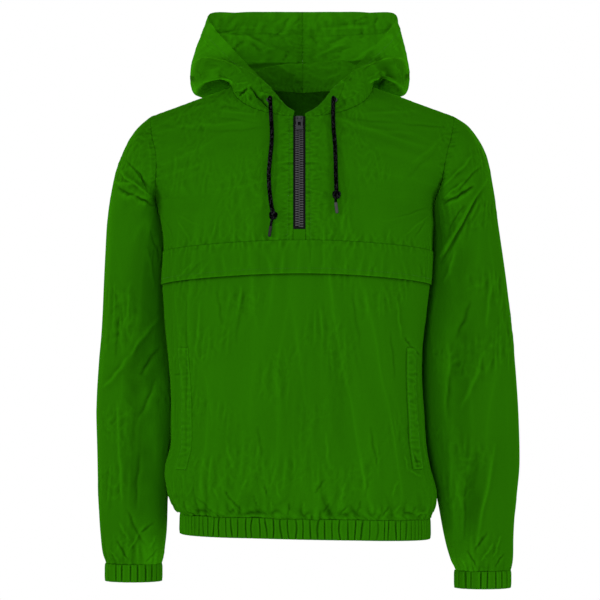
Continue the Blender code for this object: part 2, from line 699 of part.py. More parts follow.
def make_cuff(side, finish):
    """Elastic cuff: a gathered ring below the sleeve."""
    end = sleeve_table(side)[-1]
    count = 2 * CUFF_GATHERS
    middle = (end.inner_x + end.outer_x) / 2
    half = (end.outer_x - end.inner_x) / 2

    def point(u, v):
        turn = u * 2 * math.pi
        depth = end.front if math.sin(turn) >= 0 else end.back
        return Vector((SIDES[side] * (middle + half * math.cos(turn)),
                       end.middle_y - depth * math.sin(turn), end.inner_z - SEAM - CUFF_BAND * v))

    surface = Surface(point, wraps=True, outward=SIDES[side])
    wall(f"cuff_{side}", surface, ring_columns(count), [0.0, 1.0], finish,
         outer=every_other(count, CUFF_GATHER_DEPTH))


# ---------------------------------------------------------------- hood
def hood(side):
    """Half the hood: u from the zip round to the centre back, v from the neck seam to the brim."""
    sign = SIDES[side]
    panels = {facing: panel_surface(side, facing) for facing in (-1, 1)}

    def seam(u):
        """Where the hood meets the neckline, and the way off the panel's edge there."""
        column = u * HOOD_COLUMNS
        if column <= NECK_COLUMNS_FRONT:
            panel, neck_columns = panels[-1], NECK_COLUMNS_FRONT
        else:
            panel, neck_columns = panels[1], NECK_COLUMNS_BACK
            column = HOOD_COLUMNS - column
        columns = neck_columns + SHOULDER_COLUMNS
        across = column / columns
        low, high = max(across - SEAM_STEP, 0.0), min(across + SEAM_STEP, neck_columns / columns)
        away = off_edge(panel, across, 1.0, panel(high, 1.0) - panel(low, 1.0))
        return panel(across, 1.0), away

    def point(u, v):
        edge, away = seam(u)
        turn = math.atan2(abs(edge.x), -edge.y)
        angle = math.degrees(turn)
        wide = mix(1.0, HOOD_WIDER[side], math.sin(turn) ** 2)

        def radial(out, widened, height):
            return Vector((sign * out * math.sin(turn) * widened, -out * math.cos(turn), height))

        base = edge + away * SEAM
        places = [base, base + Vector((0, 0, HOOD_RISE * math.sin(turn)))]
        for name, widened in (("crest", wide), ("pouch", wide), ("side", wide), ("brim", 1.0)):
            places.append(radial(read(HOOD, "angle", name, angle), widened,
                                 read(HOOD, "angle", name + "_z", angle)))
        made = Vector([spline(HOOD_KNOTS, [p[axis] for p in places], v) for axis in range(3)])
        made.x += sign * HALF_SEAM * u ** 4
        return made

    def square(u, v, out):
        """Square to the neckline's edge, and to the centre seam where the two halves meet."""
        if v == 0.0:
            out = squared_to_edge(out, seam(u)[1])
        return Vector((0, out.y, out.z)) if u == 1.0 else out

    return Surface(point, outward=SIDES[side], square=square)


def make_hood_panel(side, finish):
    columns = even(HOOD_COLUMNS)
    rows = even(HOOD_ROWS)

    def inner(u, v):
        return -WALL if v < CASING_FROM else -CASING_WALL

    wall(f"hood_{side}", hood(side), columns, rows, finish, inner=inner)


# ---------------------------------------------------------------- zip
def zip_strip(name, half, low_z, high_z, rows, inner, outer, finish):
    """A strip down the zip's centre line, between two distances from the yoke's face."""
    def point(u, v):
        x, z = ZIP_X + (2 * u - 1) * half, mix(low_z, high_z, v)
        return body(angle_at(x, z), z, -1)

    return wall(name, Surface(point), even(2), even(rows), finish,
                outer=lambda u, v: outer, inner=lambda u, v: inner)


def slider_frame():
    """Axes at the slider: X across, Y into the garment, Z up along the zip."""
    z = neckline(ZIP_X, -1) - SLIDER_BELOW - SLIDER_SIZE[2] / 2
    above, below = z + SLIDER_SIZE[2] / 2, z - SLIDER_SIZE[2] / 2
    up = (body(angle_at(ZIP_X, above), above, -1) - body(angle_at(ZIP_X, below), below, -1))
    up.x = 0
    up.normalize()
    across = Vector((1, 0, 0))
    inward = up.cross(across)
    frame = Matrix((across, inward, up)).transposed().to_4x4()
    frame.translation = body(angle_at(ZIP_X, z), z, -1)
    return frame


def box(name, size, centre, finish, bevel=0.0):
    edit = bmesh.new()
    bmesh.ops.create_cube(edit, size=1.0)
    bmesh.ops.scale(edit, vec=size, verts=edit.verts)
    bmesh.ops.translate(edit, vec=centre, verts=edit.verts)
    if bevel:
        bmesh.ops.bevel(edit, geom=edit.edges[:], offset=bevel, segments=1, affect="EDGES")
    return mesh_object(name, edit, finish)


def rod(name, radius, length, centre, finish):
    """A round bar along X."""
    edit = bmesh.new()
    bmesh.ops.create_cone(edit, cap_ends=True, segments=12, radius1=radius, radius2=radius,
                          depth=length)
    bmesh.ops.rotate(edit, matrix=Matrix.Rotation(math.pi / 2, 3, "Y"), verts=edit.verts)
    bmesh.ops.translate(edit, vec=centre, verts=edit.verts)
    return mesh_object(name, edit, finish)


def mesh_object(name, edit, finish):
    mesh = bpy.data.meshes.new(name)
    edit.to_mesh(mesh)
    edit.free()
    mesh.materials.append(finish)
    made = bpy.data.objects.new(name, mesh)
    bpy.context.collection.objects.link(made)
    return made


def combine(made, other, operation):
    """Boolean with a tool object that is then kept only as a guide."""
    change = made.modifiers.new(other.name, "BOOLEAN")
    change.operation = operation
    change.object = other
    change.solver = "EXACT"
    other.hide_render = True
    other.display_type = "WIRE"
    other.parent = made


def make_zip(tape, metal):
    frame = slider_frame()
    slider_low = frame.translation.z - frame.to_3x3().col[2].z * SLIDER_SIZE[2] / 2
    top = neckline(ZIP_X, -1) - SEAM
    face = -TAPE_DEPTH
    zip_strip("zip_tape", ZIP_HALF - SEAM, ZIP_BOTTOM_Z + SEAM, top, STRIP_ROWS,
              face - TAPE_WALL, face, tape)
    zip_strip("zip_chain", CHAIN_HALF, ZIP_BOTTOM_Z + CHAIN_FOOT, slider_low - 2 * SEAM, STRIP_ROWS,
              face + SEAM, face + SEAM + CHAIN_THICK, metal)

    across, thick, tall = SLIDER_SIZE
    middle_y = TAPE_DEPTH - 2 * SEAM - thick / 2
    pin_y = middle_y - thick / 2 - BARREL_RADIUS - SEAM
    make_slider(frame, middle_y, pin_y, metal)
    make_pull(frame @ Matrix.Translation((0, pin_y, PIN_ABOVE)), metal)


def make_slider(frame, middle_y, pin_y, metal):
    slider = box("zip_slider", SLIDER_SIZE, (0, middle_y, 0), metal, bevel=SLIDER_EDGE)
    ear_y = pin_y + EAR_SIZE[1] / 2 - BARREL_RADIUS + SEAM
    for sign in (-1, 1):
        ear_x = sign * (EAR_HALF_GAP + EAR_SIZE[0] / 2)
        ear = box(f"ear_guide_{sign}", EAR_SIZE, (ear_x, ear_y, PIN_ABOVE), metal)
        combine(slider, ear, "UNION")
    pin = rod("pin_guide", PIN_RADIUS, 2 * EAR_HALF_GAP + EAR_SIZE[0], (0, pin_y, PIN_ABOVE), metal)
    combine(slider, pin, "UNION")
    slider.matrix_world = frame


def make_pull(frame, metal):
    """Pull tab hanging from its barrel: a narrow neck, then a plate with a window."""
    wide, flat, long = PULL_SIZE
    barrel_long = 2 * (EAR_HALF_GAP - SEAM)
    lap = BARREL_BORE
    pull = rod("zip_pull", BARREL_RADIUS, barrel_long, (0, 0, 0), metal)
    neck = box("pull_neck_guide", (barrel_long, flat, PULL_NECK), (0, 0, -PULL_NECK / 2), metal)
    plate = box("pull_plate_guide", (wide, flat, long - PULL_NECK + lap),
                (0, 0, -(long + PULL_NECK - lap) / 2), metal)
    window = box("pull_window_guide", (PULL_WINDOW[0], 2 * wide, PULL_WINDOW[1]),
                 (0, 0, -PULL_WINDOW_DOWN), metal)
    bore = rod("pull_bore_guide", BARREL_BORE, 2 * barrel_long, (0, 0, 0), metal)
    for tool, operation in ((neck, "UNION"), (plate, "UNION"), (window, "DIFFERENCE"),
                            (bore, "DIFFERENCE")):
        combine(pull, tool, operation)
    pull.matrix_world = frame


def make_stop_patch(finish):
    """Small box of cloth stitched across the foot of the zip."""
    zip_strip("zip_stop_patch", ZIP_HALF - SEAM, FLAP_SEAM_Z + HALF_SEAM, ZIP_BOTTOM_Z - SEAM, 1,
              PATCH_PROUD - WALL, PATCH_PROUD, finish)


# ---------------------------------------------------------------- drawcords
def eyelet_frame(side):
    """Axes at a drawcord eyelet, flat on one of the hood's mesh faces, Z outwards."""
    surface = hood(side)
    column, row = EYELET_AT[side]
    left, low = math.floor(column), math.floor(row)
    a, b, c, d = [surface(u / HOOD_COLUMNS, v / HOOD_ROWS) for u, v in (
        (left, low), (left + 1, low), (left + 1, low + 1), (left, low + 1))]
    out = surface.outward * (c - a).cross(d - b)
    frame = out.to_track_quat("Z", "Y").to_matrix().to_4x4()
    frame.translation = a.lerp(b, column - left).lerp(d.lerp(c, column - left), row - low)
    return frame


def make_eyelet(side, metal):
    edit = bmesh.new()
    sides = 16
    rings = []
    for radius, height in ((EYELET_INNER, 0.0), (EYELET_OUTER, 0.0),
                           (EYELET_OUTER, EYELET_THICK / 2), (EYELET_INNER, EYELET_THICK)):
        ring = [edit.verts.new((radius * math.cos(2 * math.pi * i / sides),
                                radius * math.sin(2 * math.pi * i / sides), height))
                for i in range(sides)]
        rings.append(ring)
    for low, high in zip(rings, rings[1:] + rings[:1]):
        for i in range(sides):
            edit.faces.new((low[i], low[(i + 1) % sides], high[(i + 1) % sides], high[i]))
    bmesh.ops.recalc_face_normals(edit, faces=edit.faces)
    made = mesh_object(f"eyelet_{side}", edit, metal)
    made.matrix_world = eyelet_frame(side) @ Matrix.Translation((0, 0, EYELET_LIFT))


class Route:
    """A smooth curve through a route's points, read by the distance down it."""

    def __init__(self, points):
        self.points = [Vector(p) for p in points]
        self.downs = [0.0]
        for a, b in zip(self.points, self.points[1:]):
            self.downs.append(self.downs[-1] + (b - a).length)
        self.length = self.downs[-1]

    def at(self, down):
        return Vector([spline(self.downs, [p[axis] for p in self.points], down) for axis in range(3)])

    def heading(self, down):
        return (self.at(down + HEADING_STEP) - self.at(down - HEADING_STEP)).normalized()


def make_tube(name, route, start, end, diameter, finish):
    """A stretch of a route as a round tube with flat ends."""
    spans = max(2, math.ceil((end - start) / CORD_STEP))
    curve = bpy.data.curves.new(name, "CURVE")
    curve.dimensions = "3D"
    curve.bevel_depth = diameter / 2
    curve.bevel_resolution = 2
    curve.use_fill_caps = True
    line = curve.splines.new("POLY")
    line.points.add(spans)
    for i, point in enumerate(line.points):
        point.co = (*route.at(mix(start, end, i / spans)), 1.0)
    curve.materials.append(finish)
    made = bpy.data.objects.new(name, curve)
    bpy.context.collection.objects.link(made)


def make_knot(side, route, finish):
    edit = bmesh.new()
    bmesh.ops.create_uvsphere(edit, u_segments=12, v_segments=8, radius=0.5)
    bmesh.ops.scale(edit, vec=KNOT, verts=edit.verts)
    made = mesh_object(f"knot_{side}", edit, finish)
    made.data.shade_smooth()
    down = KNOT_DOWN[side]
    frame = route.heading(down).to_track_quat("Z", "Y").to_matrix().to_4x4()
    frame.translation = route.at(down)
    made.matrix_world = frame


def make_drawcord(side, cord, metal):
    """The cord from the eyelet to its knot, the knot, the tail below it and the hard tip."""
    route = Route(CORD_ROUTE[side])
    knot_top = KNOT_DOWN[side] - KNOT[2] / 2
    knot_foot = KNOT_DOWN[side] + KNOT[2] / 2
    tip_top = route.length - TIP_LENGTH
    make_tube(f"drawcord_{side}", route, 0.0, knot_top - SEAM, CORD, cord)
    make_knot(side, route, cord)
    make_tube(f"cord_tail_{side}", route, knot_foot + SEAM, tip_top - SEAM, CORD, cord)
    make_tube(f"cord_tip_{side}", route, tip_top, route.length, TIP, metal)


# ---------------------------------------------------------------- build
def build():
    for old in list(bpy.data.objects):
        bpy.data.objects.remove(old, do_unlink=True)
    cloth = material("green_nylon", (0.017, 0.127, 0.001), 0.55)
    tape = material("black_tape", (0.006, 0.006, 0.006), 0.8)
    cord = material("black_cord", (0.005, 0.005, 0.005), 0.9)
    metal = material("dark_metal", (0.03, 0.03, 0.03), 0.4, 0.6)
    make_lower_front(cloth)
    make_flap(cloth)
    make_back(cloth)
    make_waistband(cloth)
    make_stop_patch(cloth)
    make_zip(tape, metal)
    for side in SIDES:
        make_yoke(side, cloth)
        make_welt(side, cloth)
        make_sleeve(side, cloth)
        make_cuff(side, cloth)
        make_hood_panel(side, cloth)
        make_eyelet(side, metal)
        make_drawcord(side, cord, metal)


build()
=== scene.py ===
"""Looks of the hooded half-zip anorak: crinkled nylon on the CAD's forms, with its sewing.

Metres, +Z up, front towards -Y, the wearer's left towards +X. The cloth surfaces repeat the ones
that the CAD solids stand on, on finer grids, and their creases are added along the normals.
"""

import math
from collections import namedtuple

import bpy
import numpy as np
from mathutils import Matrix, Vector, noise


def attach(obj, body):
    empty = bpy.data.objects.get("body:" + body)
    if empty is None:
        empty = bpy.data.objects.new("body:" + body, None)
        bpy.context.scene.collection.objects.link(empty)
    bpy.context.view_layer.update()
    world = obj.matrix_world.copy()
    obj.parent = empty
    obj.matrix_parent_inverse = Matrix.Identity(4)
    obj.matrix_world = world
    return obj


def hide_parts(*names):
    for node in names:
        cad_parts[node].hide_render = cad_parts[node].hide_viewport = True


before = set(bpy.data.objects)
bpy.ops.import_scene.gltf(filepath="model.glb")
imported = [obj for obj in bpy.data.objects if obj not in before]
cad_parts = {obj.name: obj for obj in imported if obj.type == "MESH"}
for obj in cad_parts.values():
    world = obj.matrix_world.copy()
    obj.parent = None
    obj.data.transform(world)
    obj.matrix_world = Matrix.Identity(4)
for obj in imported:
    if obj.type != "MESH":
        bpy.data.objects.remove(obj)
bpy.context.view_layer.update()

# ---------------------------------------------------------------- sizes that the CAD also has
WALL = 0.0015            # cloth of the solids
SEAM = 0.0003            # gap between two solids at a seam
HALF_SEAM = SEAM / 2
ROUND = 2.4              # exponent of the body's section; 2 is an ellipse and more is squarer
FLATTER = 3.3            # the same towards the sides below the armpits, where the cloth hangs flat
FLAT_FROM, FLAT_OVER = 0.35, 0.25        # where that starts and takes over, as shares across
FLAT_BELOW, FLAT_FADE = 0.01, 0.05       # its start above the armpit, and its fade down
FOLD_EDGE = 0.35         # share of the depth at which folds fade out towards the side seam
NECK_HALF = 0.108
NECK_DROP_FRONT = 0.0495
NECK_DROP_BACK = 0.004
SHOULDER_HALF = 0.234
SHOULDER_SLOPE = 0.365
SHOULDER_Z = -SHOULDER_SLOPE * (SHOULDER_HALF - NECK_HALF)
SHOULDER_ROLL = 0.130    # height over which the body rounds in to the shoulder line
ARMPIT_Z = -0.174
HEM_SEAM_Z = -0.6580
HEM_FALL = 0.0042        # how much lower the hem is at the wearer's left
HEM_BAND = 0.0305
BAND_SHAPE_DOWN = 0.02   # below the hem seam, the height whose section the band has
HEM_GATHERS = 110
CUFF_BAND = 0.0265
CUFF_GATHERS = 22
FLAP_SEAM_Z = -0.2378
FLAP_DROP = 0.0163
FLAP_HEIGHT = 0.0497
FLAP_FLARE = 0.0045      # how far its free edge stands off at the centre
FLAP_LIFT = WALL + SEAM + 0.0002
ZIP_X = -0.0048
ZIP_HALF = 0.0093
ZIP_BOTTOM_Z = -0.2212
TAPE_DEPTH = 0.0004
SLIDER_SIZE = (0.0115, 0.0046, 0.0100)
SLIDER_BELOW = 0.0010
NECK_COLUMNS = {-1: 7, 1: 9}             # of the CAD's grid, for the front and the back
SHOULDER_COLUMNS = 4
HOOD_COLUMNS = NECK_COLUMNS[-1] + NECK_COLUMNS[1]
HOOD_RISE = 0.006
HOOD_KNOTS = [0.0, 0.05, 0.19, 0.43, 0.66, 1.0]
HOOD_WIDER = {"left": 0.965, "right": 1.02}
CREST_LIFT = {"left": 0.012, "right": -0.004}    # of the fold inside the hood, against the CAD
CREST_LIFT_AT, CREST_LIFT_WIDE = 132, 20         # degrees round from the zip
WELT_HALF = 0.010
WELT_TOP_Z = -0.399
WELT_BOTTOM_Z = -0.585
WELT_ANGLE = {"left": 1.02, "right": -0.98}
WELT_RADIUS = 0.13       # of the body there, to turn a width into an angle
CORD = 0.0062            # across the loose braid
KNOT = (0.0098, 0.0098, 0.0130)
TIP = 0.0046
TIP_LENGTH = 0.0180
SIDES = {"left": 1, "right": -1}

CORD_ROUTE = {
    "left": [(0.0484, -0.0591, -0.0233), (0.0476, -0.0616, -0.0211), (0.0470, -0.0662, -0.0208),
             (0.0467, -0.0716, -0.0252), (0.0465, -0.0768, -0.0370), (0.0464, -0.0836, -0.0530),
             (0.0470, -0.0918, -0.0700), (0.0486, -0.1022, -0.0900), (0.0497, -0.1105, -0.1150),
             (0.0501, -0.1157, -0.1380), (0.0508, -0.1192, -0.1590), (0.0510, -0.1210, -0.1700),
             (0.0497, -0.1210, -0.1775), (0.0501, -0.1212, -0.1830), (0.0519, -0.1218, -0.1980)],
    "right": [(-0.0504, -0.0591, -0.0230), (-0.0496, -0.0616, -0.0209), (-0.0492, -0.0662, -0.0206),
              (-0.0489, -0.0716, -0.0251), (-0.0484, -0.0768, -0.0370), (-0.0476, -0.0836, -0.0530),
              (-0.0464, -0.0930, -0.0720), (-0.0468, -0.1028, -0.0920), (-0.0490, -0.1108, -0.1150),
              (-0.0508, -0.1158, -0.1380), (-0.0498, -0.1188, -0.1620), (-0.0466, -0.1216, -0.1880),
              (-0.0440, -0.1236, -0.1997), (-0.0466, -0.1234, -0.2100), (-0.0476, -0.1234, -0.2160),
              (-0.0501, -0.1238, -0.2332)],
}
KNOT_DOWN = {"left": 0.1690, "right": 0.2010}       # how far down its cord each knot is
CORD_INTO_TIP = 0.003
TAIL_SHARE = 0.66        # thickness of the cord below its knot
TAIL_FADE = 0.006

BodyRow = namedtuple("BodyRow", "z left right front back")
BODY = [BodyRow(*row) for row in [
    (-0.700, 0.1965, 0.1887, 0.111, 0.103),
    (-0.660, 0.1965, 0.1890, 0.112, 0.104),
    (-0.640, 0.2040, 0.2020, 0.120, 0.112),
    (-0.620, 0.2045, 0.2085, 0.124, 0.115),
    (-0.585, 0.1955, 0.2105, 0.125, 0.113),
    (-0.550, 0.1890, 0.2015, 0.124, 0.108),
    (-0.500, 0.1855, 0.2003, 0.123, 0.104),
    (-0.450, 0.1832, 0.2022, 0.123, 0.102),
    (-0.400, 0.1835, 0.2065, 0.124, 0.102),
    (-0.350, 0.1887, 0.2105, 0.124, 0.104),
    (-0.305, 0.1945, 0.2130, 0.123, 0.106),
    (-0.255, 0.1982, 0.2120, 0.122, 0.109),
    (-0.215, 0.2010, 0.2155, 0.120, 0.111),
    (ARMPIT_Z, 0.2045, 0.2262, 0.117, 0.111),
    (-0.110, 0.258, 0.262, 0.106, 0.104),
    (-0.045, 0.275, 0.275, 0.085, 0.090),
    (0.040, 0.280, 0.280, 0.072, 0.076),
]]

ArmholeRow = namedtuple("ArmholeRow", "z left right")
ARMHOLE = [ArmholeRow(*row) for row in [
    (ARMPIT_Z, 0.2045, 0.2262),
    (-0.150, 0.2120, 0.2240),
    (-0.125, 0.2160, 0.2226),
    (-0.102, 0.2205, 0.2240),
    (-0.078, 0.2275, 0.2300),
    (SHOULDER_Z, SHOULDER_HALF, SHOULDER_HALF),
]]

SleeveRow = namedtuple("SleeveRow", "inner_x inner_z outer_x outer_z middle_y front back")
SLEEVE = {
    "left": [SleeveRow(*row) for row in [
        (0.2012, -0.183, 0.2585, -0.0635, 0.006, 0.0695, 0.0695),
        (0.1995, -0.199, 0.2815, -0.1000, 0.016, 0.0785, 0.0775),
        (0.1990, -0.218, 0.2940, -0.1480, 0.025, 0.0815, 0.0795),
        (0.1965, -0.250, 0.3030, -0.2050, 0.032, 0.0785, 0.0775),
        (0.1925, -0.300, 0.3148, -0.2850, 0.036, 0.0735, 0.0725),
        (0.1865, -0.365, 0.3243, -0.3700, 0.036, 0.0695, 0.0685),
        (0.1820, -0.430, 0.3312, -0.4450, 0.036, 0.0665, 0.0655),
        (0.1845, -0.500, 0.3352, -0.5100, 0.034, 0.0635, 0.0635),
        (0.1930, -0.570, 0.3357, -0.5800, 0.029, 0.0605, 0.0605),
        (0.2075, -0.630, 0.3305, -0.6350, 0.023, 0.0555, 0.0555),
        (0.2180, -0.685, 0.3260, -0.6900, 0.016, 0.0495, 0.0495),
        (0.2275, -0.727, 0.3240, -0.7270, 0.010, 0.0425, 0.0425),
        (0.2345, -0.7440, 0.3212, -0.7440, 0.008, 0.0355, 0.0355),
    ]],
    "right": [SleeveRow(*row) for row in [
        (0.2240, -0.183, 0.2575, -0.0680, 0.006, 0.0695, 0.0695),
        (0.2190, -0.199, 0.2765, -0.1000, 0.014, 0.0785, 0.0775),
        (0.2142, -0.218, 0.2925, -0.1450, 0.023, 0.0815, 0.0795),
        (0.2098, -0.250, 0.3015, -0.2050, 0.031, 0.0785, 0.0775),
        (0.2115, -0.300, 0.3065, -0.2850, 0.036, 0.0735, 0.0725),
        (0.2080, -0.365, 0.3105, -0.3700, 0.036, 0.0695, 0.0685),
        (0.2035, -0.430, 0.3170, -0.4450, 0.036, 0.0665, 0.0655),
        (0.1985, -0.500, 0.3195, -0.5000, 0.034, 0.0635, 0.0635),
        (0.2040, -0.565, 0.3180, -0.5650, 0.029, 0.0605, 0.0605),
        (0.2080, -0.625, 0.3165, -0.6250, 0.023, 0.0555, 0.0555),
        (0.2100, -0.680, 0.3135, -0.6800, 0.016, 0.0485, 0.0485),
        (0.2140, -0.715, 0.3095, -0.7150, 0.010, 0.0425, 0.0425),
        (0.2170, -0.7335, 0.3040, -0.7335, 0.008, 0.0355, 0.0355),
    ]],
}

HoodRow = namedtuple("HoodRow", "angle crest crest_z pouch pouch_z side side_z brim brim_z")
HOOD = [HoodRow(*row) for row in [
    (3, 0.0795, -0.0480, 0.0792, -0.0470, 0.0786, -0.0460, 0.0775, -0.0450),
    (25, 0.0790, -0.0420, 0.0745, -0.0370, 0.0680, -0.0330, 0.0610, -0.0305),
    (45, 0.0880, -0.0300, 0.0800, -0.0210, 0.0680, -0.0160, 0.0550, -0.0150),
    (65, 0.1080, -0.0040, 0.1050, 0.0100, 0.0850, 0.0170, 0.0563, -0.0008),
    (90, 0.1200, 0.0150, 0.1430, 0.0100, 0.1350, 0.0430, 0.0700, 0.0192),
    (108, 0.1180, 0.0200, 0.1700, -0.0030, 0.1720, 0.0450, 0.1010, 0.0480),
    (120, 0.1080, 0.0250, 0.1830, -0.0090, 0.1920, 0.0480, 0.1712, 0.1140),
    (140, 0.0930, 0.0370, 0.1580, -0.0220, 0.1800, 0.0420, 0.1560, 0.1250),
    (160, 0.0835, 0.0420, 0.1440, -0.0280, 0.1730, 0.0370, 0.1520, 0.1280),
    (180, 0.0800, 0.0420, 0.1400, -0.0300, 0.1710, 0.0370, 0.1550, 0.1290),
]]

# ---------------------------------------------------------------- creases, placed one by one
# A line from low to high seen from the front, its half width and its height (troughs below 0).
Fold = namedtuple("Fold", "x_low z_low x_high z_high width depth")
FORM_FOLDS = [Fold(*row) for row in [    # the body's largest folds, which the solids have too
    (-0.150, -0.640, -0.075, -0.420, 0.012, 0.0044),
    (-0.110, -0.650, -0.050, -0.360, 0.014, 0.0040),
    (-0.062, -0.655, -0.030, -0.430, 0.011, -0.0040),
    (-0.020, -0.655, -0.012, -0.330, 0.014, 0.0044),
    (0.022, -0.655, 0.004, -0.400, 0.011, -0.0042),
    (0.060, -0.650, 0.016, -0.340, 0.013, 0.0044),
    (0.095, -0.650, 0.034, -0.320, 0.012, -0.0038),
    (0.128, -0.640, 0.052, -0.310, 0.014, 0.0044),
    (0.160, -0.600, 0.110, -0.400, 0.012, -0.0034),
    (0.205, -0.150, 0.110, -0.225, 0.012, 0.0036),
    (-0.215, -0.150, -0.150, -0.215, 0.012, 0.0032),
    (-0.190, -0.085, -0.060, -0.110, 0.014, 0.0022),
    (0.190, -0.080, 0.060, -0.112, 0.014, 0.0022),
]]
BACK_SHIFT = 0.018       # sideways, of the same folds on the back
SLEEVE_FOLDS = {
    "left": [Fold(*row) for row in [
        (0.206, -0.267, 0.283, -0.140, 0.017, 0.0080),
        (0.214, -0.290, 0.296, -0.172, 0.018, -0.0064),
        (0.212, -0.181, 0.265, -0.150, 0.014, 0.0054),
        (0.286, -0.455, 0.300, -0.314, 0.020, 0.0054),
        (0.225, -0.460, 0.262, -0.330, 0.022, -0.0054),
        (0.262, -0.715, 0.294, -0.544, 0.017, 0.0064),
        (0.245, -0.700, 0.259, -0.550, 0.017, -0.0058),
    ]],
    "right": [Fold(*row) for row in [
        (0.224, -0.187, 0.289, -0.149, 0.017, 0.0074),
        (0.230, -0.170, 0.271, -0.102, 0.014, -0.0054),
        (0.232, -0.215, 0.296, -0.200, 0.020, -0.0061),
        (0.308, -0.462, 0.218, -0.355, 0.021, 0.0074),
        (0.262, -0.491, 0.215, -0.432, 0.020, -0.0064),
        (0.230, -0.620, 0.236, -0.485, 0.020, -0.0058),
        (0.262, -0.700, 0.275, -0.560, 0.017, 0.0054),
    ]],
}

# Smaller creases in millimetres: x and z of the low and the high end, half width and height.
# Creases lower than BOLD are drawn FINER, down to the half width FINEST.
BOLD, FINER, FINEST = 2.9, 0.7, 1.3
HOOD_CREASES = {
    "inside": [
        (-9, 50, 7, 50, 1.6, 3.4),
        (15, 57, 67, 80, 2.8, -2.2), (113, 107, 118, 117, 1.8, 2.0), (-31, 107, -23, 120, 1.8, 1.6),
        (-16, 109, -1, 120, 2.2, 1.6), (-54, 77, -99, 96, 4.0, 2.0), (-111, 66, -92, 82, 2.5, 2.4),
        (-99, 68, -129, 74, 6.9, -3.0), (-64, 66, -81, 79, 3.1, 1.6), (-66, 66, -45, 73, 3.1, -1.6),
        (-31, 52, -21, 68, 2.2, 2.4), (-16, 74, -28, 88, 2.8, -1.6), (91, 84, 96, 98, 2.3, 1.8),
        (-89, 49, -54, 52, 3.1, -1.6), (25, 106, 110, 109, 3.7, 1.4), (25, 76, 10, 95, 3.4, 1.2),
        (36, 74, 69, 92, 4.0, 1.6), (74, 49, 142, 87, 3.7, -1.6), (-138, 90, -105, 99, 2.5, 1.8),
        (-127, 95, -149, 103, 2.2, -1.8), (-89, 90, -121, 93, 2.2, 1.6),
        (-20, 93, -64, 99, 3.1, -1.6), (53, 65, 79, 74, 2.8, 1.2), (-51, 87, -34, 99, 2.8, 1.4),
        (-9, 68, 4, 93, 3.7, -1.0), (75, 112, 104, 118, 2.8, 1.2), (126, 90, 142, 106, 3.1, 1.6),
        (41, 52, 61, 60, 3.1, 1.0),
    ],
    "lobe": [
        (-118, 48, -141, 72, 4.0, 1.6), (-96, 26, -133, 57, 3.7, -1.6),
        (-87, 14, -118, 42, 2.8, 1.4), (-158, 45, -136, 60, 4.0, 1.4),
        (-132, -5, -110, 6, 3.1, -2.0), (-102, 3, -130, 18, 3.4, -2.2), (-82, 2, -104, 3, 3.1, 2.0),
        (-153, 23, -124, 26, 3.7, 1.4), (-75, -34, -90, -5, 3.1, 3.0),
        (-50, -37, -81, -2, 2.6, -5.0), (-22, -38, -68, -9, 3.0, 3.0),
        (-33, -26, -50, -5, 3.1, -1.4), (-99, -20, -139, -17, 4.0, -3.0),
        (-99, -18, -84, -5, 2.2, -4.4), (-28, -32, -62, 5, 2.5, 1.2), (-152, 5, -164, 32, 4.0, -1.4),
        (-112, -11, -90, -8, 2.5, 1.6), (-133, 32, -149, 39, 2.8, -1.2),
        (90, 22, 133, 54, 3.4, -2.4), (76, 35, 139, 82, 3.7, 1.6), (152, 45, 124, 57, 3.1, -1.6),
        (138, 62, 129, 75, 2.8, 1.4), (106, 46, 136, 63, 3.4, 1.8), (98, 8, 119, 23, 3.7, 1.8),
        (118, 6, 138, 22, 2.8, -5.0), (139, 11, 119, 20, 2.4, 4.0), (35, -18, 67, 11, 4.6, 1.4),
        (44, -34, 76, -17, 4.0, -1.4), (66, -26, 92, -8, 4.0, 1.6), (52, -8, 82, 20, 3.1, -1.2),
        (153, 11, 141, 39, 4.0, 1.6), (58, 2, 73, 11, 2.5, 1.2), (24, -38, 55, -32, 2.8, 1.4),
    ],
    "outside": [         # seen from the back
        (-120, -10, -70, 30, 4, 2.4), (-60, -25, -20, 28, 3.5, -2.2), (10, -24, 48, 34, 4, 2.2),
        (70, -20, 118, 22, 3.5, -2.4), (-100, 40, -40, 60, 4, 1.8), (30, 52, 96, 40, 3.5, -1.8),
        (-140, 20, -110, 62, 3, 2.0), (128, 10, 110, 66, 3, 2.0), (-30, 60, 22, 84, 3.5, 1.6),
        (60, 70, 104, 98, 3, -1.6), (-90, 72, -48, 104, 3, -1.8), (-12, 96, 30, 108, 2.5, 1.6),
        (-64, -22, -44, 4, 2.5, 1.8), (36, -20, 26, 12, 2.5, -1.8), (84, -16, 70, 16, 2.5, 1.8),
    ],
}
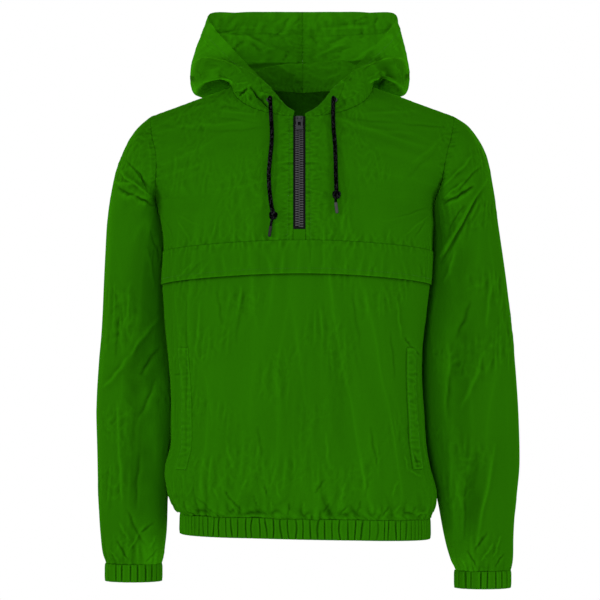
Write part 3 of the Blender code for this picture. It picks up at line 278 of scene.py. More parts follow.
FRONT_CREASES = [
    (-185, -298, -158, -262, 4.0, 2.4), (-178, -300, -148, -266, 4.0, -2.2),
    (-164, -300, -130, -258, 5.0, 1.8), (186, -300, 170, -266, 4.0, -2.0),
    (62, -288, 68, -250, 5.0, 1.4), (-62, -286, -68, -252, 5.0, -1.4), (12, -286, 12, -242, 2.4, -1.6),
    (-7, -286, -5, -244, 2.4, 1.2), (104, -292, 112, -262, 4.0, -1.4),
    (163, -398, 154, -384, 1.4, -2.0), (181, -414, 161, -396, 1.5, -2.2),
    (163, -440, 176, -441, 1.2, -1.2), (-182, -440, -196, -441, 1.2, -1.0),
    (-206, -67, -61, -55, 4.9, 1.4), (-147, -71, -227, -59, 3.7, -1.2),
    (-147, -73, -52, -67, 4.0, -1.2), (-61, -46, -134, -40, 2.8, 1.4),
    (-94, -38, -122, -32, 2.2, -1.4), (-67, -59, -137, -50, 2.8, -1.2),
    (150, -59, 64, -53, 2.8, -1.4), (226, -65, 147, -59, 2.5, -1.6),
    (87, -46, 177, -38, 3.1, 1.4), (177, -77, 75, -65, 4.0, 1.2),
    (165, -123, 220, -74, 5.5, 1.2), (153, -150, 207, -96, 5.5, -1.0),
    (117, -210, 198, -191, 4.3, 1.2), (170, -234, 186, -207, 2.3, -2.2),
    (153, -231, 197, -195, 2.5, 1.8), (135, -206, 194, -186, 2.8, -1.4),
    (126, -242, 132, -219, 2.2, 1.4), (-171, -237, -191, -201, 2.5, 1.4),
    (-194, -237, -215, -197, 2.5, -1.8), (-146, -219, -200, -195, 3.4, 1.0),
    (41, -138, 16, -132, 1.8, 1.3), (13, -148, 32, -144, 1.8, -1.3),
    (29, -118, 16, -112, 1.7, 1.2), (37, -170, 14, -162, 1.8, 1.3),
    (-40, -156, -23, -150, 1.8, 1.3), (-22, -132, -35, -127, 1.7, -1.2),
    (-25, -171, -42, -167, 1.8, 1.2), (-39, -197, -22, -189, 2.0, -1.2),
    (14, -186, 43, -182, 2.0, -1.2), (40, -212, 16, -204, 2.0, 1.2),
    (-49, -216, -22, -210, 2.0, 1.2), (16, -85, 31, -80, 1.7, 1.0),
    (-109, -630, -117, -615, 2.0, -2.0), (-91, -647, -111, -624, 2.2, -2.4),
    (-97, -650, -108, -636, 1.7, 2.0), (-68, -642, -74, -621, 2.0, -1.8),
    (-53, -627, -58, -605, 2.2, -1.8), (-91, -614, -85, -597, 2.2, 1.6),
    (-46, -645, -49, -626, 1.8, 1.6), (-22, -653, -19, -630, 2.2, -2.0),
    (2, -651, 1, -629, 2.2, 1.6), (17, -620, 34, -597, 2.5, -1.8),
    (31, -650, 40, -633, 1.8, -2.0), (53, -653, 70, -636, 2.0, -2.2),
    (82, -650, 88, -629, 2.0, -1.8), (118, -657, 131, -639, 2.0, -2.6),
    (136, -650, 148, -636, 2.0, 1.8), (174, -654, 153, -648, 2.0, -2.0),
    (169, -654, 190, -648, 1.7, 2.4), (-142, -641, -162, -624, 2.3, -1.6),
    (-127, -650, -147, -642, 1.8, -1.8), (-157, -651, -178, -645, 1.8, 1.8),
    (-126, -629, -136, -608, 2.5, 1.6), (-34, -629, -40, -599, 2.8, 1.4),
    (56, -629, 64, -602, 2.8, 1.6), (95, -626, 98, -596, 2.8, -1.4),
    (134, -626, 143, -599, 2.8, 1.6), (174, -582, 165, -556, 2.0, -2.0),
    (181, -596, 160, -584, 2.0, 2.0), (178, -578, 168, -565, 1.7, -1.6),
    (160, -587, 154, -561, 2.2, 1.6), (-105, -584, -115, -538, 4.0, 1.2),
    (-61, -576, -67, -516, 4.3, -1.2), (41, -584, 34, -523, 4.3, 1.2),
    (113, -584, 101, -516, 4.3, -1.4), (-175, -584, -174, -313, 3.4, -1.4),
    (-193, -568, -196, -328, 3.4, 1.0), (-159, -403, -154, -328, 3.4, 1.2),
    (-121, -366, -130, -313, 3.7, -1.0), (150, -390, 143, -328, 2.8, 1.6),
    (140, -448, 133, -373, 3.7, -1.2), (-100, -396, -89, -305, 4.9, -1.0),
    (86, -403, 74, -305, 4.9, -1.0),
]
BACK_CREASES = [
    (-160, -120, -70, -60, 7, 1.8), (165, -125, 75, -62, 7, 1.8), (-190, -200, -110, -150, 7, -1.8),
    (185, -205, 100, -160, 7, -1.8), (-30, -300, -12, -80, 11, 1.4), (52, -330, 36, -120, 9, -1.2),
    (-140, -420, -40, -350, 7, 1.5), (150, -470, 50, -400, 7, -1.4), (-196, -214, -150, -250, 3, -2.0),
    (182, -190, 140, -232, 3, -2.0), (-110, -640, -104, -590, 2.5, -2.2), (-70, -646, -60, -604, 2, 2.0),
    (-24, -650, -30, -610, 2, -2.2), (14, -650, 22, -606, 2, 2.0), (48, -648, 44, -610, 2, -2.0),
    (88, -644, 98, -600, 2.5, 2.2), (132, -636, 124, -590, 2.5, -2.2), (-146, -630, -136, -590, 2, 2.0),
    (-60, -30, 10, -52, 4, 1.4), (30, -26, 84, -60, 4, -1.4), (-100, -250, -20, -222, 5, 1.2),
    (30, -236, 110, -262, 5, -1.2), (-150, -520, -140, -400, 5, 1.4), (140, -540, 134, -420, 5, -1.4),
]
SLEEVE_CREASES = {
    "right": [
        (232, -172, 281, -129, 2.8, 3.2), (230, -169, 252, -128, 2.8, -3.4),
        (255, -171, 284, -157, 3.4, -3.0), (226, -185, 256, -169, 2.8, -3.4),
        (230, -159, 272, -112, 2.5, -2.2), (250, -154, 293, -146, 3.7, 2.4),
        (306, -465, 264, -414, 4.6, 2.6), (266, -416, 219, -350, 4.6, 2.6),
        (218, -269, 232, -220, 3.7, -2.0), (226, -313, 238, -248, 3.7, 1.6),
        (250, -444, 218, -397, 4.9, -2.4), (253, -513, 222, -445, 4.9, -2.0),
        (266, -728, 286, -696, 2.5, -2.6), (266, -711, 239, -670, 2.8, 2.6),
        (241, -730, 221, -708, 2.3, -2.4), (241, -705, 270, -647, 3.4, -2.0),
        (281, -731, 295, -710, 2.2, 2.0), (255, -690, 226, -667, 2.5, -2.0),
        (264, -698, 281, -667, 2.8, 1.8), (236, -710, 224, -687, 2.2, 2.0),
        (287, -420, 281, -328, 5.4, -1.4), (269, -374, 263, -297, 5.4, 1.4),
        (275, -636, 284, -528, 4.9, 1.6), (255, -651, 249, -559, 4.6, -1.8),
    ],
    "left": [
        (213, -159, 258, -108, 2.8, 3.0), (230, -168, 273, -122, 3.1, -2.6),
        (214, -183, 262, -156, 2.6, -5.2), (215, -174, 247, -146, 2.2, 3.0),
        (207, -266, 283, -140, 3.4, 3.4), (210, -276, 276, -152, 2.6, -3.6),
        (221, -223, 246, -182, 2.8, -2.2), (216, -305, 235, -251, 4.0, 1.8),
        (264, -715, 295, -544, 4.6, 1.8), (246, -698, 252, -590, 4.6, -1.8),
        (243, -497, 280, -405, 5.2, 1.8), (221, -513, 227, -420, 4.3, -1.8),
        (267, -739, 252, -710, 2.5, -2.4), (273, -728, 292, -699, 2.5, 2.4),
        (295, -738, 310, -716, 2.2, -2.2), (252, -741, 241, -722, 2.0, 2.0),
        (261, -716, 283, -682, 2.8, -2.0), (292, -722, 304, -688, 2.5, 2.0),
        (235, -390, 258, -328, 4.9, -1.8), (280, -374, 292, -282, 4.9, 1.6),
    ],
}

# Narrow painted shades inside the sharpest folds; the last value is how dark, on the scale of the painted
# shading.
SLEEVE_PAINTED_FOLD_SHADES = {
    "left": [(214, -181, 262, -154, 1.8, 1.3), (212, -280, 276, -156, 1.6, 1.3),
             (208, -196, 214, -250, 2.4, 1.0)],
    "right": [(226, -184, 256, -168, 1.6, 0.9), (230, -168, 252, -128, 1.6, 0.8),
              (250, -444, 218, -397, 2.2, 0.6)],
}
HOOD_PAINTED_FOLD_SHADES = [(-50, -37, -81, -2, 1.6, 1.4), (-99, -18, -84, -5, 1.4, 1.3),
                (118, 6, 138, 22, 1.6, 1.3), (-22, -38, -60, -14, 1.4, 0.8)]


# ---------------------------------------------------------------- small helpers
def mix(a, b, t):
    return a + (b - a) * t


def weights(keys, at):
    """Share of each key's value in a smooth curve at each place (Catmull-Rom), keys first."""
    keys = np.asarray(keys, float)
    last = len(keys) - 1
    at = np.clip(at, keys[0], keys[-1])
    low = np.clip(np.searchsorted(keys, at, side="right") - 1, 0, last - 1)
    step = (keys[low + 1] - keys[low])[..., None]
    t = (at - keys[low])[..., None] / step
    one = np.eye(last + 1)
    here = np.arange(last + 1)
    before, after = np.maximum(here - 1, 0), np.minimum(here + 1, last)
    slopes = (one[after] - one[before]) / (keys[after] - keys[before])[:, None]
    a, b = one[low], one[low + 1]
    da, db = slopes[low] * step, slopes[low + 1] * step
    share = a + da * t + (3 * (b - a) - 2 * da - db) * t ** 2 + (2 * (a - b) + da + db) * t ** 3
    return np.moveaxis(share, -1, 0)


def read(rows, key, column, at):
    """Smooth value of a table's column where its key column is `at`."""
    keys = [getattr(row, key) for row in rows]
    values = [getattr(row, column) for row in rows]
    return np.tensordot(values, weights(keys, at), 1)


def through(keys, places, at):
    """Smooth curve through whole grids of points, one grid for each key."""
    return sum(share[..., None] * place for share, place in zip(weights(keys, at), places))


def smooth_step(t):
    t = np.clip(t, 0.0, 1.0)
    return t * t * (3 - 2 * t)


def unit(vectors):
    length = np.linalg.norm(vectors, axis=-1, keepdims=True)
    return vectors / np.maximum(length, 1e-9)


def point_of(x, y, z):
    return np.stack(np.broadcast_arrays(x, y, z), axis=-1)


def length_down(points):
    """Length along a line of points, from its start to each of them."""
    return np.concatenate([[0.0], np.cumsum(np.linalg.norm(np.diff(points, axis=0), axis=-1))])


SEED_STEP = 7.31         # how far apart in the noise two seeds are


def noise_at(points, cells, seed=0.0):
    """Smooth noise from -1 to 1 at each point; cells per metre along X, Y and Z."""
    places = (points * np.asarray(cells) + seed * SEED_STEP).reshape(-1, 3)
    return np.array([noise.noise(place) for place in places.tolist()]).reshape(points.shape[:-1])


def ridged(value, top=0.7, fall=2.4):
    """Smooth noise made into relief whose crests are sharper than its sides."""
    return top - fall * np.abs(value)


WARP_CELLS, WARP_REACH = 0.5, 0.8        # cells across a crinkle, and reach as a share of it
CrumpleLayer = namedtuple("CrumpleLayer", "share cells seed")
CRUMPLE_LAYERS = [CrumpleLayer(0.7, 0.8, 3), CrumpleLayer(0.3, 1.9, 4)]


def crumple(points, size, seed):
    """Uneven crinkles about `size` across, with crests sharper than their sides, -1 to 1."""
    warp = np.stack([noise_at(points, WARP_CELLS / size, seed + axis) for axis in range(3)], axis=-1)
    bent = points + warp * size * WARP_REACH
    return sum(share * ridged(noise_at(bent, cells / size, seed + more), top=1.0, fall=2.6)
               for share, cells, more in CRUMPLE_LAYERS)


Wave = namedtuple("Wave", "share pace phase")
WAVES = [Wave(0.6, 1.0, 0.618), Wave(0.4, 2.3, 0.414)]


def wobble(along, number, cycles):
    """A smooth uneven wave from -1 to 1, another for each number."""
    return sum(wave.share * np.sin(2 * np.pi * (wave.pace * cycles * along + number * wave.phase % 1))
               for wave in WAVES)


def folds_of(rows):
    """Folds in metres from rows in millimetres; all but the boldest are drawn crisper."""
    made = []
    for *ends, width, depth in rows:
        finer = 1.0 if abs(depth) >= BOLD else FINER
        size = max(width * finer, FINEST), depth * finer
        made.append(Fold(*(value / 1000 for value in (*ends, *size))))
    return made


BEND_CYCLES, SWELL_CYCLES = 1.1, 1.6     # along a crease
SWELL = 0.25
STEEP, GENTLE = 1.25, 0.85               # how fast a crease's two sides fall
CREASE_TAPER = 0.7


def creases(x, z, folds, shift=0.0, bend=0.25, soft=2.0):
    """Sum of uneven ridges and troughs; each bends, swells and has one steeper side.

    Soft is 2 for a rounded fold, and less for one with a crease along its middle.
    """
    height = np.zeros(np.shape(x))
    for number, fold in enumerate(folds):
        line_x, line_z = fold.x_high - fold.x_low, fold.z_high - fold.z_low
        length = math.hypot(line_x, line_z)
        right, up = x - fold.x_low - shift, z - fold.z_low
        along = np.clip((right * line_x + up * line_z) / length ** 2, 0.0, 1.0)
        off = (up * line_x - right * line_z) / length / fold.width
        off = off - bend * wobble(along, number, BEND_CYCLES)
        wide = 1 + SWELL * wobble(along, number + 5, SWELL_CYCLES)
        sides = (STEEP, GENTLE) if number % 2 else (GENTLE, STEEP)
        steep = np.where(off > 0, *sides)
        taper = np.sin(np.pi * along) ** CREASE_TAPER
        height += fold.depth * taper * np.exp(-np.abs(off * steep / wide) ** soft)
    return height


# ---------------------------------------------------------------- surfaces, as in the CAD
def half_width(x, z):
    return np.where(x >= 0, read(BODY, "z", "left", z), read(BODY, "z", "right", z))


def shoulder_line(x):
    return SHOULDER_SLOPE * (NECK_HALF - np.abs(x))


def body(angle, z, facing):
    """Points on the body: angle from the centre line, facing -1 for the front and 1 for the back."""
    sine, cosine = np.sin(angle), np.cos(angle)
    reach = (np.abs(sine) ** ROUND + np.abs(cosine) ** ROUND) ** (-1 / ROUND)
    x = half_width(sine, z) * sine * reach
    depth = np.where(facing < 0, read(BODY, "z", "front", z), read(BODY, "z", "back", z))
    round_share, across = np.abs(cosine) * reach, np.minimum(np.abs(sine) * reach, 1.0)
    flat_share = (1 - across ** FLATTER) ** (1 / FLATTER)
    flat = smooth_step((across - FLAT_FROM) / FLAT_OVER)
    flat = flat * smooth_step((ARMPIT_Z + FLAT_BELOW - z) / FLAT_FADE)
    share = np.sign(cosine) * mix(round_share, flat_share, flat)
    below = np.clip((shoulder_line(x) - z) / SHOULDER_ROLL, 0.0, 1.0)
    rounding = np.sqrt(1 - (1 - below) ** 2)
    edge = np.minimum(1.0, np.abs(cosine) / FOLD_EDGE)
    folds = creases(x, z, FORM_FOLDS, np.where(facing < 0, 0.0, BACK_SHIFT))
    y = (depth * share + folds * edge) * rounding + HALF_SEAM
    return point_of(x, facing * y, z)


def angle_at(x, z):
    share = np.minimum(np.abs(x) / half_width(x, z), 1.0)
    return np.copysign(np.arctan2(share, (1 - share ** ROUND) ** (1 / ROUND)), x)


def neckline(x, facing):
    drop = NECK_DROP_FRONT if facing < 0 else NECK_DROP_BACK
    return -drop * np.sqrt(np.maximum(0.0, 1 - (x / NECK_HALF) ** 2))


def hem_seam_z(angle):
    return HEM_SEAM_Z - HEM_FALL * np.sin(angle)


def flap_seam_z(angle):
    return FLAP_SEAM_Z - FLAP_DROP * np.sin(angle) ** 2


def zip_edge(side):
    return ZIP_HALF + SIDES[side] * ZIP_X


def panel(side, facing, u, v):
    """Half of the yoke or back, u from the centre to the side, v from the foot to the top."""
    sign, neck_columns = SIDES[side], NECK_COLUMNS[facing]
    last = neck_columns + SHOULDER_COLUMNS
    centre_x = sign * zip_edge(side) if facing < 0 else 0.0
    bottom = flap_seam_z if facing < 0 else hem_seam_z

    def top_x(column):
        start = zip_edge(side) if facing < 0 else 0.0
        neck = mix(start, NECK_HALF, np.sin(np.minimum(column / neck_columns, 1) * np.pi / 2))
        shoulder = mix(NECK_HALF, SHOULDER_HALF, (column - neck_columns) / SHOULDER_COLUMNS)
        return sign * np.where(column <= neck_columns, neck, shoulder)

    def angles(z):
        start = angle_at(centre_x, z) if centre_x else 0.0
        low = np.minimum(z, SHOULDER_Z)
        side_x = np.where(low <= ARMPIT_Z, read(BODY, "z", side, low), read(ARMHOLE, "z", side, low))
        return start, angle_at(sign * side_x, low)

    column = u * last
    low = np.clip(np.floor(column), 0, last - 1)
    edge_x = mix(top_x(low), top_x(low + 1), column - low)
    high_z = np.where(np.abs(edge_x) < NECK_HALF, neckline(edge_x, facing), shoulder_line(edge_x))
    foot_start = angle_at(centre_x, np.array(FLAP_SEAM_Z)) if centre_x else 0.0
    low_z = bottom(mix(foot_start, sign * np.pi / 2, u)) + HALF_SEAM
    z = np.where(v < 0.5, mix(low_z, ARMPIT_Z, v * 2), mix(ARMPIT_Z, high_z, v * 2 - 1))
    start, edge = angles(z)
    top_start, top_edge = angles(high_z)
    top_share = (angle_at(edge_x, high_z) - top_start) / (top_edge - top_start)
    return body(mix(start, edge, mix(u, top_share, v * v)), z, facing)


def back(u, v):
    across = 2 * u - 1
    left, right = panel("left", 1, np.abs(across), v), panel("right", 1, np.abs(across), v)
    return np.where((across >= 0)[..., None], left, right)


def lower_front(u, v):
    angle = (2 * u - 1) * np.pi / 2
    return body(angle, mix(hem_seam_z(angle) + HALF_SEAM, flap_seam_z(angle) - HALF_SEAM, v), -1)


def flap(u, v):
    angle = (2 * u - 1) * np.pi / 2
    return body(angle, flap_seam_z(angle) - HALF_SEAM - FLAP_HEIGHT * (1 - v), -1)


def welt(side, u, v):
    angle = WELT_ANGLE[side] + (u - 0.5) * 2 * WELT_HALF / WELT_RADIUS
    return body(angle, mix(WELT_BOTTOM_Z, WELT_TOP_Z, v), -1)


def waistband(u, v):
    angle = u * 2 * np.pi
    facing = np.where(np.cos(angle) >= 0, -1.0, 1.0)
    round_angle = np.where(facing < 0, angle, np.pi - angle)
    made = body(round_angle, np.full(np.shape(angle), HEM_SEAM_Z - BAND_SHAPE_DOWN), facing)
    made[..., 2] = hem_seam_z(angle) - HALF_SEAM - HEM_BAND * (1 - v)
    return made


def sleeve(side, u, v):
    """Tube from the armhole to the cuff: u turns from the top over the front, v goes down."""
    turn = u * 2 * np.pi
    front = (np.sin(turn) >= 0)[..., None]
    up = mix(0.5, 1.0, (1 + np.cos(turn)) / 2)
    one = np.ones(np.shape(up))
    places = [np.where(front, panel(side, -1, one, up), panel(side, 1, one, up))]
    for row in SLEEVE[side]:
        depth = np.where(front[..., 0], row.front, row.back)
        reach_x, reach_z = (row.outer_x - row.inner_x) / 2, (row.outer_z - row.inner_z) / 2
        places.append(point_of(
            SIDES[side] * ((row.inner_x + row.outer_x) / 2 + reach_x * np.cos(turn)),
            row.middle_y - depth * np.sin(turn),
            (row.inner_z + row.outer_z) / 2 + reach_z * np.cos(turn)))
    rings = len(SLEEVE[side])
    made = through([k / rings for k in range(rings + 1)], places, v)
    clear_of_seams = np.minimum(1.0, np.minimum(v * rings, (1 - v) * rings))
    folds = creases(np.abs(made[..., 0]), made[..., 2], SLEEVE_FOLDS[side])
    made[..., 1] -= folds * clear_of_seams * np.sin(turn)
    return made


def cuff(side, u, v):
    end = SLEEVE[side][-1]
    turn = u * 2 * np.pi
    half = (end.outer_x - end.inner_x) / 2
    depth = np.where(np.sin(turn) >= 0, end.front, end.back)
    return point_of(SIDES[side] * ((end.inner_x + end.outer_x) / 2 + half * np.cos(turn)),
                    end.middle_y - depth * np.sin(turn), end.inner_z - SEAM - CUFF_BAND * v)


def hood(side, u, v):
    """Half the hood: u from the zip round to the centre back, v from the neck seam to the brim."""
    sign = SIDES[side]
    column = u * HOOD_COLUMNS
    on_front = column <= NECK_COLUMNS[-1]
    top = np.ones(np.shape(u))
    front_u = np.where(on_front, column, 0) / (NECK_COLUMNS[-1] + SHOULDER_COLUMNS)
    back_u = np.where(on_front, 0, HOOD_COLUMNS - column) / (NECK_COLUMNS[1] + SHOULDER_COLUMNS)
    base = np.where(on_front[..., None], panel(side, -1, front_u, top), panel(side, 1, back_u, top))
    turn = np.arctan2(np.abs(base[..., 0]), -base[..., 1])
    angle = np.degrees(turn)
    wide = mix(1.0, HOOD_WIDER[side], np.sin(turn) ** 2)
    places = [base, base + point_of(0.0, 0.0, HOOD_RISE * np.sin(turn))]
    lift = CREST_LIFT[side] * np.exp(-((angle - CREST_LIFT_AT) / CREST_LIFT_WIDE) ** 2)
    for name, widened in (("crest", wide), ("pouch", wide), ("side", wide), ("brim", 1.0)):
        out = read(HOOD, "angle", name, angle)
        high = read(HOOD, "angle", name + "_z", angle) + (lift if name == "crest" else 0.0)
        places.append(point_of(sign * out * np.sin(turn) * widened, -out * np.cos(turn), high))
    return through(HOOD_KNOTS, places, v)


def zip_strip(half, low_z, high_z, u, v):
    x, z = ZIP_X + (2 * u - 1) * half, mix(low_z, high_z, v)
    return body(angle_at(x, z), z, -1)


# ---------------------------------------------------------------- cloth meshes
LIP = 0.0025             # seam allowance carried straight in at a sewn edge
SHORT_LIP = 0.0008       # the same where the cloth's inner side shows
DEEP_LIP = 0.0090        # the same at gathered seams, where the two edges wave apart
VALLEY = 0.0004          # how far a seam line sinks
VALLEY_HALF = 0.0010
TURN = 0.0007            # radius of a turned edge
HEM_GAP = 0.0013         # depth of the turned layer below the face
TURN_LAYERS = [(0.7, 0.4 * TURN), (0.6, 0.8 * HEM_GAP)]      # share of the turn out, and depth
PUCKER_LONG = 2.5        # length of a pucker, in widths
PUCKER_NEAR = 4          # where puckers end, in reaches
PAINTED_SHADING_BLURS = 8           # passes that find what is round a point, for the painted shading
PAINTED_SHADING_SPAN = (-0.9, 0.5)  # relief that is painted into the cloth's colour as shade in its troughs and light on its crests, in millimetres
EDGE_ROWS = [0.0, 0.0005, 0.0011, 0.0018, 0.0028]   # close rows along every edge


def shares(length, step):
    """Parameters from 0 to 1 for a length, with close rows at both ends."""
    edge = np.array(EDGE_ROWS)
    inside = np.linspace(edge[-1], length - edge[-1], max(2, round(length / step)))[1:-1]
    return np.concatenate([edge, inside, length - edge[::-1]]) / length


def turns(count):
    return np.arange(count) / count


def placed(name, data):
    """A new object in the scene that holds the data."""
    made = bpy.data.objects.new(name, data)
    bpy.context.scene.collection.objects.link(made)
    return made


def object_of(name, points, faces, finish):
    mesh = bpy.data.meshes.new(name)
    mesh.from_pydata(points, [], faces)
    mesh.materials.append(finish)
    return placed(name, mesh)


def mesh_of(name, points, faces, finish, uv):
    """A smooth mesh; uv holds a pair for each face's corner."""
    made = object_of(name, points.reshape(-1, 3).tolist(), faces.tolist(), finish)
    layer = made.data.uv_layers.new(name="metres")
    layer.data.foreach_set("uv", uv.astype(np.float32).ravel())
    made.data.shade_smooth()
    return made


def quads(index, place, flipped=False):
    """Faces of a grid of vertex numbers, and each corner's place on the cloth."""
    low, high = slice(None, -1), slice(1, None)
    corners = [(low, low), (low, high), (high, high), (high, low)]
    if flipped:
        corners = corners[::-1]
    faces = np.stack([index[corner] for corner in corners], axis=-1).reshape(-1, 4)
    return faces, np.stack([place[corner] for corner in corners], axis=-2).reshape(-1, 2)


def sunk(layer, depth):
    """A layer of grid points, with their normals and tones, moved in by a depth."""
    moved = layer.copy()
    moved[..., :3] -= layer[..., 3:6] * depth
    return moved


class Cloth:
    """A cloth piece on a grid of points: rows run along v and columns along u."""

    def __init__(self, name, surface, columns, rows, outward, wraps=False):
        self.name, self.outward, self.wraps = name, outward, wraps
        self.u, self.v = np.meshgrid(columns, rows)
        self.base = surface(self.u, self.v)
        self.out = self.normals()
        self.height = np.zeros(self.u.shape)
        self.shown = 1.0         # -1 where the inner side shows
        self.lip = LIP
        self.deep = ()           # edges with the deep lip
        self.painted_light_and_shade = 0.0        # painted light and shade, added to the painted shading: below 0 where the cloth lies in a shade of its own, above 0 where it is painted lighter
        self.along_u, self.along_v = across, up = self.lengths(1), self.lengths(0)
        self.to_edge = {"start": across, "end": across[:, -1:] - across,
                        "foot": up, "top": up[-1:] - up}

    def normals(self):
        grid = self.base
        if self.wraps:
            grid = np.concatenate([grid[:, -1:], grid, grid[:, :1]], axis=1)
        along = np.gradient(grid, axis=1)
        up = np.gradient(grid, axis=0)
        out = self.outward * unit(np.cross(along, up))
        return out[:, 1:-1] if self.wraps else out

    def lengths(self, axis):
        steps = np.linalg.norm(np.diff(self.base, axis=axis), axis=-1)
        start = [(1, 0), (0, 0)] if axis == 0 else [(0, 0), (1, 0)]
        return np.pad(np.cumsum(steps, axis=axis), start)

    def fade(self, edges, over):
        """0 at the named edges, rising to 1 over a distance from them."""
        share = np.ones(self.height.shape)
        for edge in edges:
            share = share * smooth_step(self.to_edge[edge] / over)
        return share

    def sew(self, edge, pucker, wave, reach, seed, valley):
        """Sink the edge into its seam, and pucker the cloth beside it."""
        away = self.to_edge[edge]
        run = self.along_v if edge in ("start", "end") else self.along_u
        place = point_of(run / wave, away / (PUCKER_LONG * wave), seed)
        near = away < PUCKER_NEAR * reach
        ripple = np.zeros(away.shape)
        ripple[near] = noise_at(place[near], 1.0, seed)
        self.height += pucker * ridged(ripple) * np.exp(-(away / reach) ** 2)
        self.valley(edge, valley)

    def valley(self, edge, depth):
        self.height -= depth * np.exp(-(self.to_edge[edge] / VALLEY_HALF) ** 2)

    def stitched(self, distance_from_line, depth=0.0004, half=0.0012):
        """Sink the cloth along a line of stitches."""
        self.height -= depth * np.exp(-(distance_from_line / half) ** 2)

    def painted_shading(self):
        """Painted shading: how far the side that shows stands above what is round it, in millimetres, plus
        the painted light and shade.
        """
        around = self.height
        for _ in range(PAINTED_SHADING_BLURS):
            wide = np.pad(around, [(0, 0), (1, 1)], mode="wrap" if self.wraps else "edge")
            tall = np.pad(around, [(1, 1), (0, 0)], mode="edge")
            around = (2 * around + wide[:, :-2] + wide[:, 2:] + tall[:-2] + tall[2:]) / 6
        relief = (self.height - around) * 1000 * self.shown
        return np.clip(relief, *PAINTED_SHADING_SPAN) + self.painted_light_and_shade

    def build(self, finish, sewn=(), turned=(), hem=0.008):
        """The mesh, with lips at its sewn edges and a layer turned in at its free ones."""
        shape = self.base + self.out * self.height[..., None]
        grid = np.concatenate([shape, self.out, self.painted_shading()[..., None]], axis=-1)
        for edge in ("foot", "top", "start", "end"):
            axis, last = (0, edge == "top") if edge in ("foot", "top") else (1, edge == "end")
            if edge in sewn:
                lip = DEEP_LIP if edge in self.deep else self.lip
                extra = [sunk(np.take(grid, [-1 if last else 0], axis=axis), lip)]
            elif edge in turned:
                extra = self.turned_in(grid, axis, last, self.to_edge[edge], hem)
            else:
                continue
            layers = [grid] + extra if last else extra[::-1] + [grid]
            grid = np.concatenate(layers, axis=axis)
        return self.mesh(grid, finish)

    def turned_in(self, grid, axis, last, away, hem):
        """The rounded edge and the layer turned in behind it, down to the hem's depth."""
        first = np.take(grid, [-1 if last else 0], axis=axis)
        beyond = first - np.take(grid, [-2 if last else 1], axis=axis)
        beyond[..., :3] = unit(beyond[..., :3]) * TURN
        beyond[..., 3:] = 0.0
        layers = [sunk(first + beyond * share, depth) for share, depth in TURN_LAYERS]
        count = int(np.count_nonzero(np.median(away, axis=1 - axis) < hem)) + 1
        for step in range(0, count, 2):
            layers.append(sunk(np.take(grid, [-1 - step if last else step], axis=axis), HEM_GAP))
        return layers

    def mesh(self, grid, finish):
        points = grid[..., :3]
        rows, columns = points.shape[:2]
        index = np.arange(rows * columns).reshape(rows, columns)
        closed = points
        if self.wraps:
            index = np.concatenate([index, index[:, :1]], axis=1)
            closed = np.concatenate([points, points[:, :1]], axis=1)
        across = np.cumsum(np.linalg.norm(np.diff(closed, axis=1), axis=-1), axis=1)
        up = np.cumsum(np.linalg.norm(np.diff(closed, axis=0), axis=-1), axis=0)
        place = np.stack([np.pad(across, [(0, 0), (1, 0)]), np.pad(up, [(1, 0), (0, 0)])], axis=-1)
        faces, uv = quads(index, place, self.outward < 0)
        made = mesh_of(self.name, points, faces, finish, uv)
        # the painted shading, kept on the points for the nylon's colour
        painted_shading = made.data.attributes.new("painted_shading", "FLOAT", "POINT")
        painted_shading.data.foreach_set("value", grid[..., 6].astype(np.float32).ravel())
        return made

    def line(self, u=None, v=None, lift=0.0):
        """The surface's points and normals along one u or one v of the grid."""
        shape = self.base + self.out * (self.height + lift)[..., None]
        if v is None:
            column = int(np.argmin(np.abs(self.u[0] - u)))
            return shape[:, column], self.out[:, column]
        row = int(np.argmin(np.abs(self.v[:, 0] - v)))
        return shape[row], self.out[row]


# ---------------------------------------------------------------- materials
GREEN = (0.0172, 0.127, 0.0008)
SHEEN_TINT = (0.08, 0.50, 0.004)
SEE_THROUGH = 0.10       # share of the light that comes through the cloth
THREAD = (0.0150, 0.112, 0.0010)
THREAD_SHINE = (0.35, 1.0, 0.12)
TAPE_BLACK = (0.0035, 0.0035, 0.0038)
CORD_BLACK = (0.0013, 0.0013, 0.0015)
FLOOR_GREY = (0.78, 0.78, 0.77)
METAL = (0.034, 0.035, 0.039)
TOOTH_GREY = (0.024, 0.025, 0.027)
WAVE_PITCH = 0.314       # metres between the bands of a wave texture at scale 1
WEAVE_PITCH = 0.0004
RIB_PITCH = 0.0009
BRAID_PITCH = 0.0022
BRAID_TURN = 0.7         # of each set of strands to the cord, in radians
NOISE_ROUGHNESS, SHEEN_ROUGHNESS = 0.55, 0.4
TIP_GREY = {"left": (0.034, 0.034, 0.035), "right": (0.0060, 0.0060, 0.0064)}

# A tint is a pair of shares of the colour, and the values that they belong to if not 0 and 1.
# A relief is the bump's height in metres and its strength. Cells are per metre.
Noise = namedtuple("Noise", "cells octaves tint relief stretch kind",
                   defaults=((), (), (1.0, 1.0, 1.0), "FBM"))
NYLON_NOISE = [
    Noise(7.0, 2.0, (0.93, 1.07)), Noise(60.0, 3.0, (0.95, 1.05), stretch=(1.0, 1.0, 0.12)),
    Noise(130.0, 3.0, (), (0.0006, 0.35), (1.0, 1.0, 0.35), "RIDGED_MULTIFRACTAL"),
    Noise(320.0, 4.0, (), (0.0003, 0.35)),
]
WEAVE_TINT, WEAVE_RELIEF = (0.96, 1.03), (0.00008, 0.35)
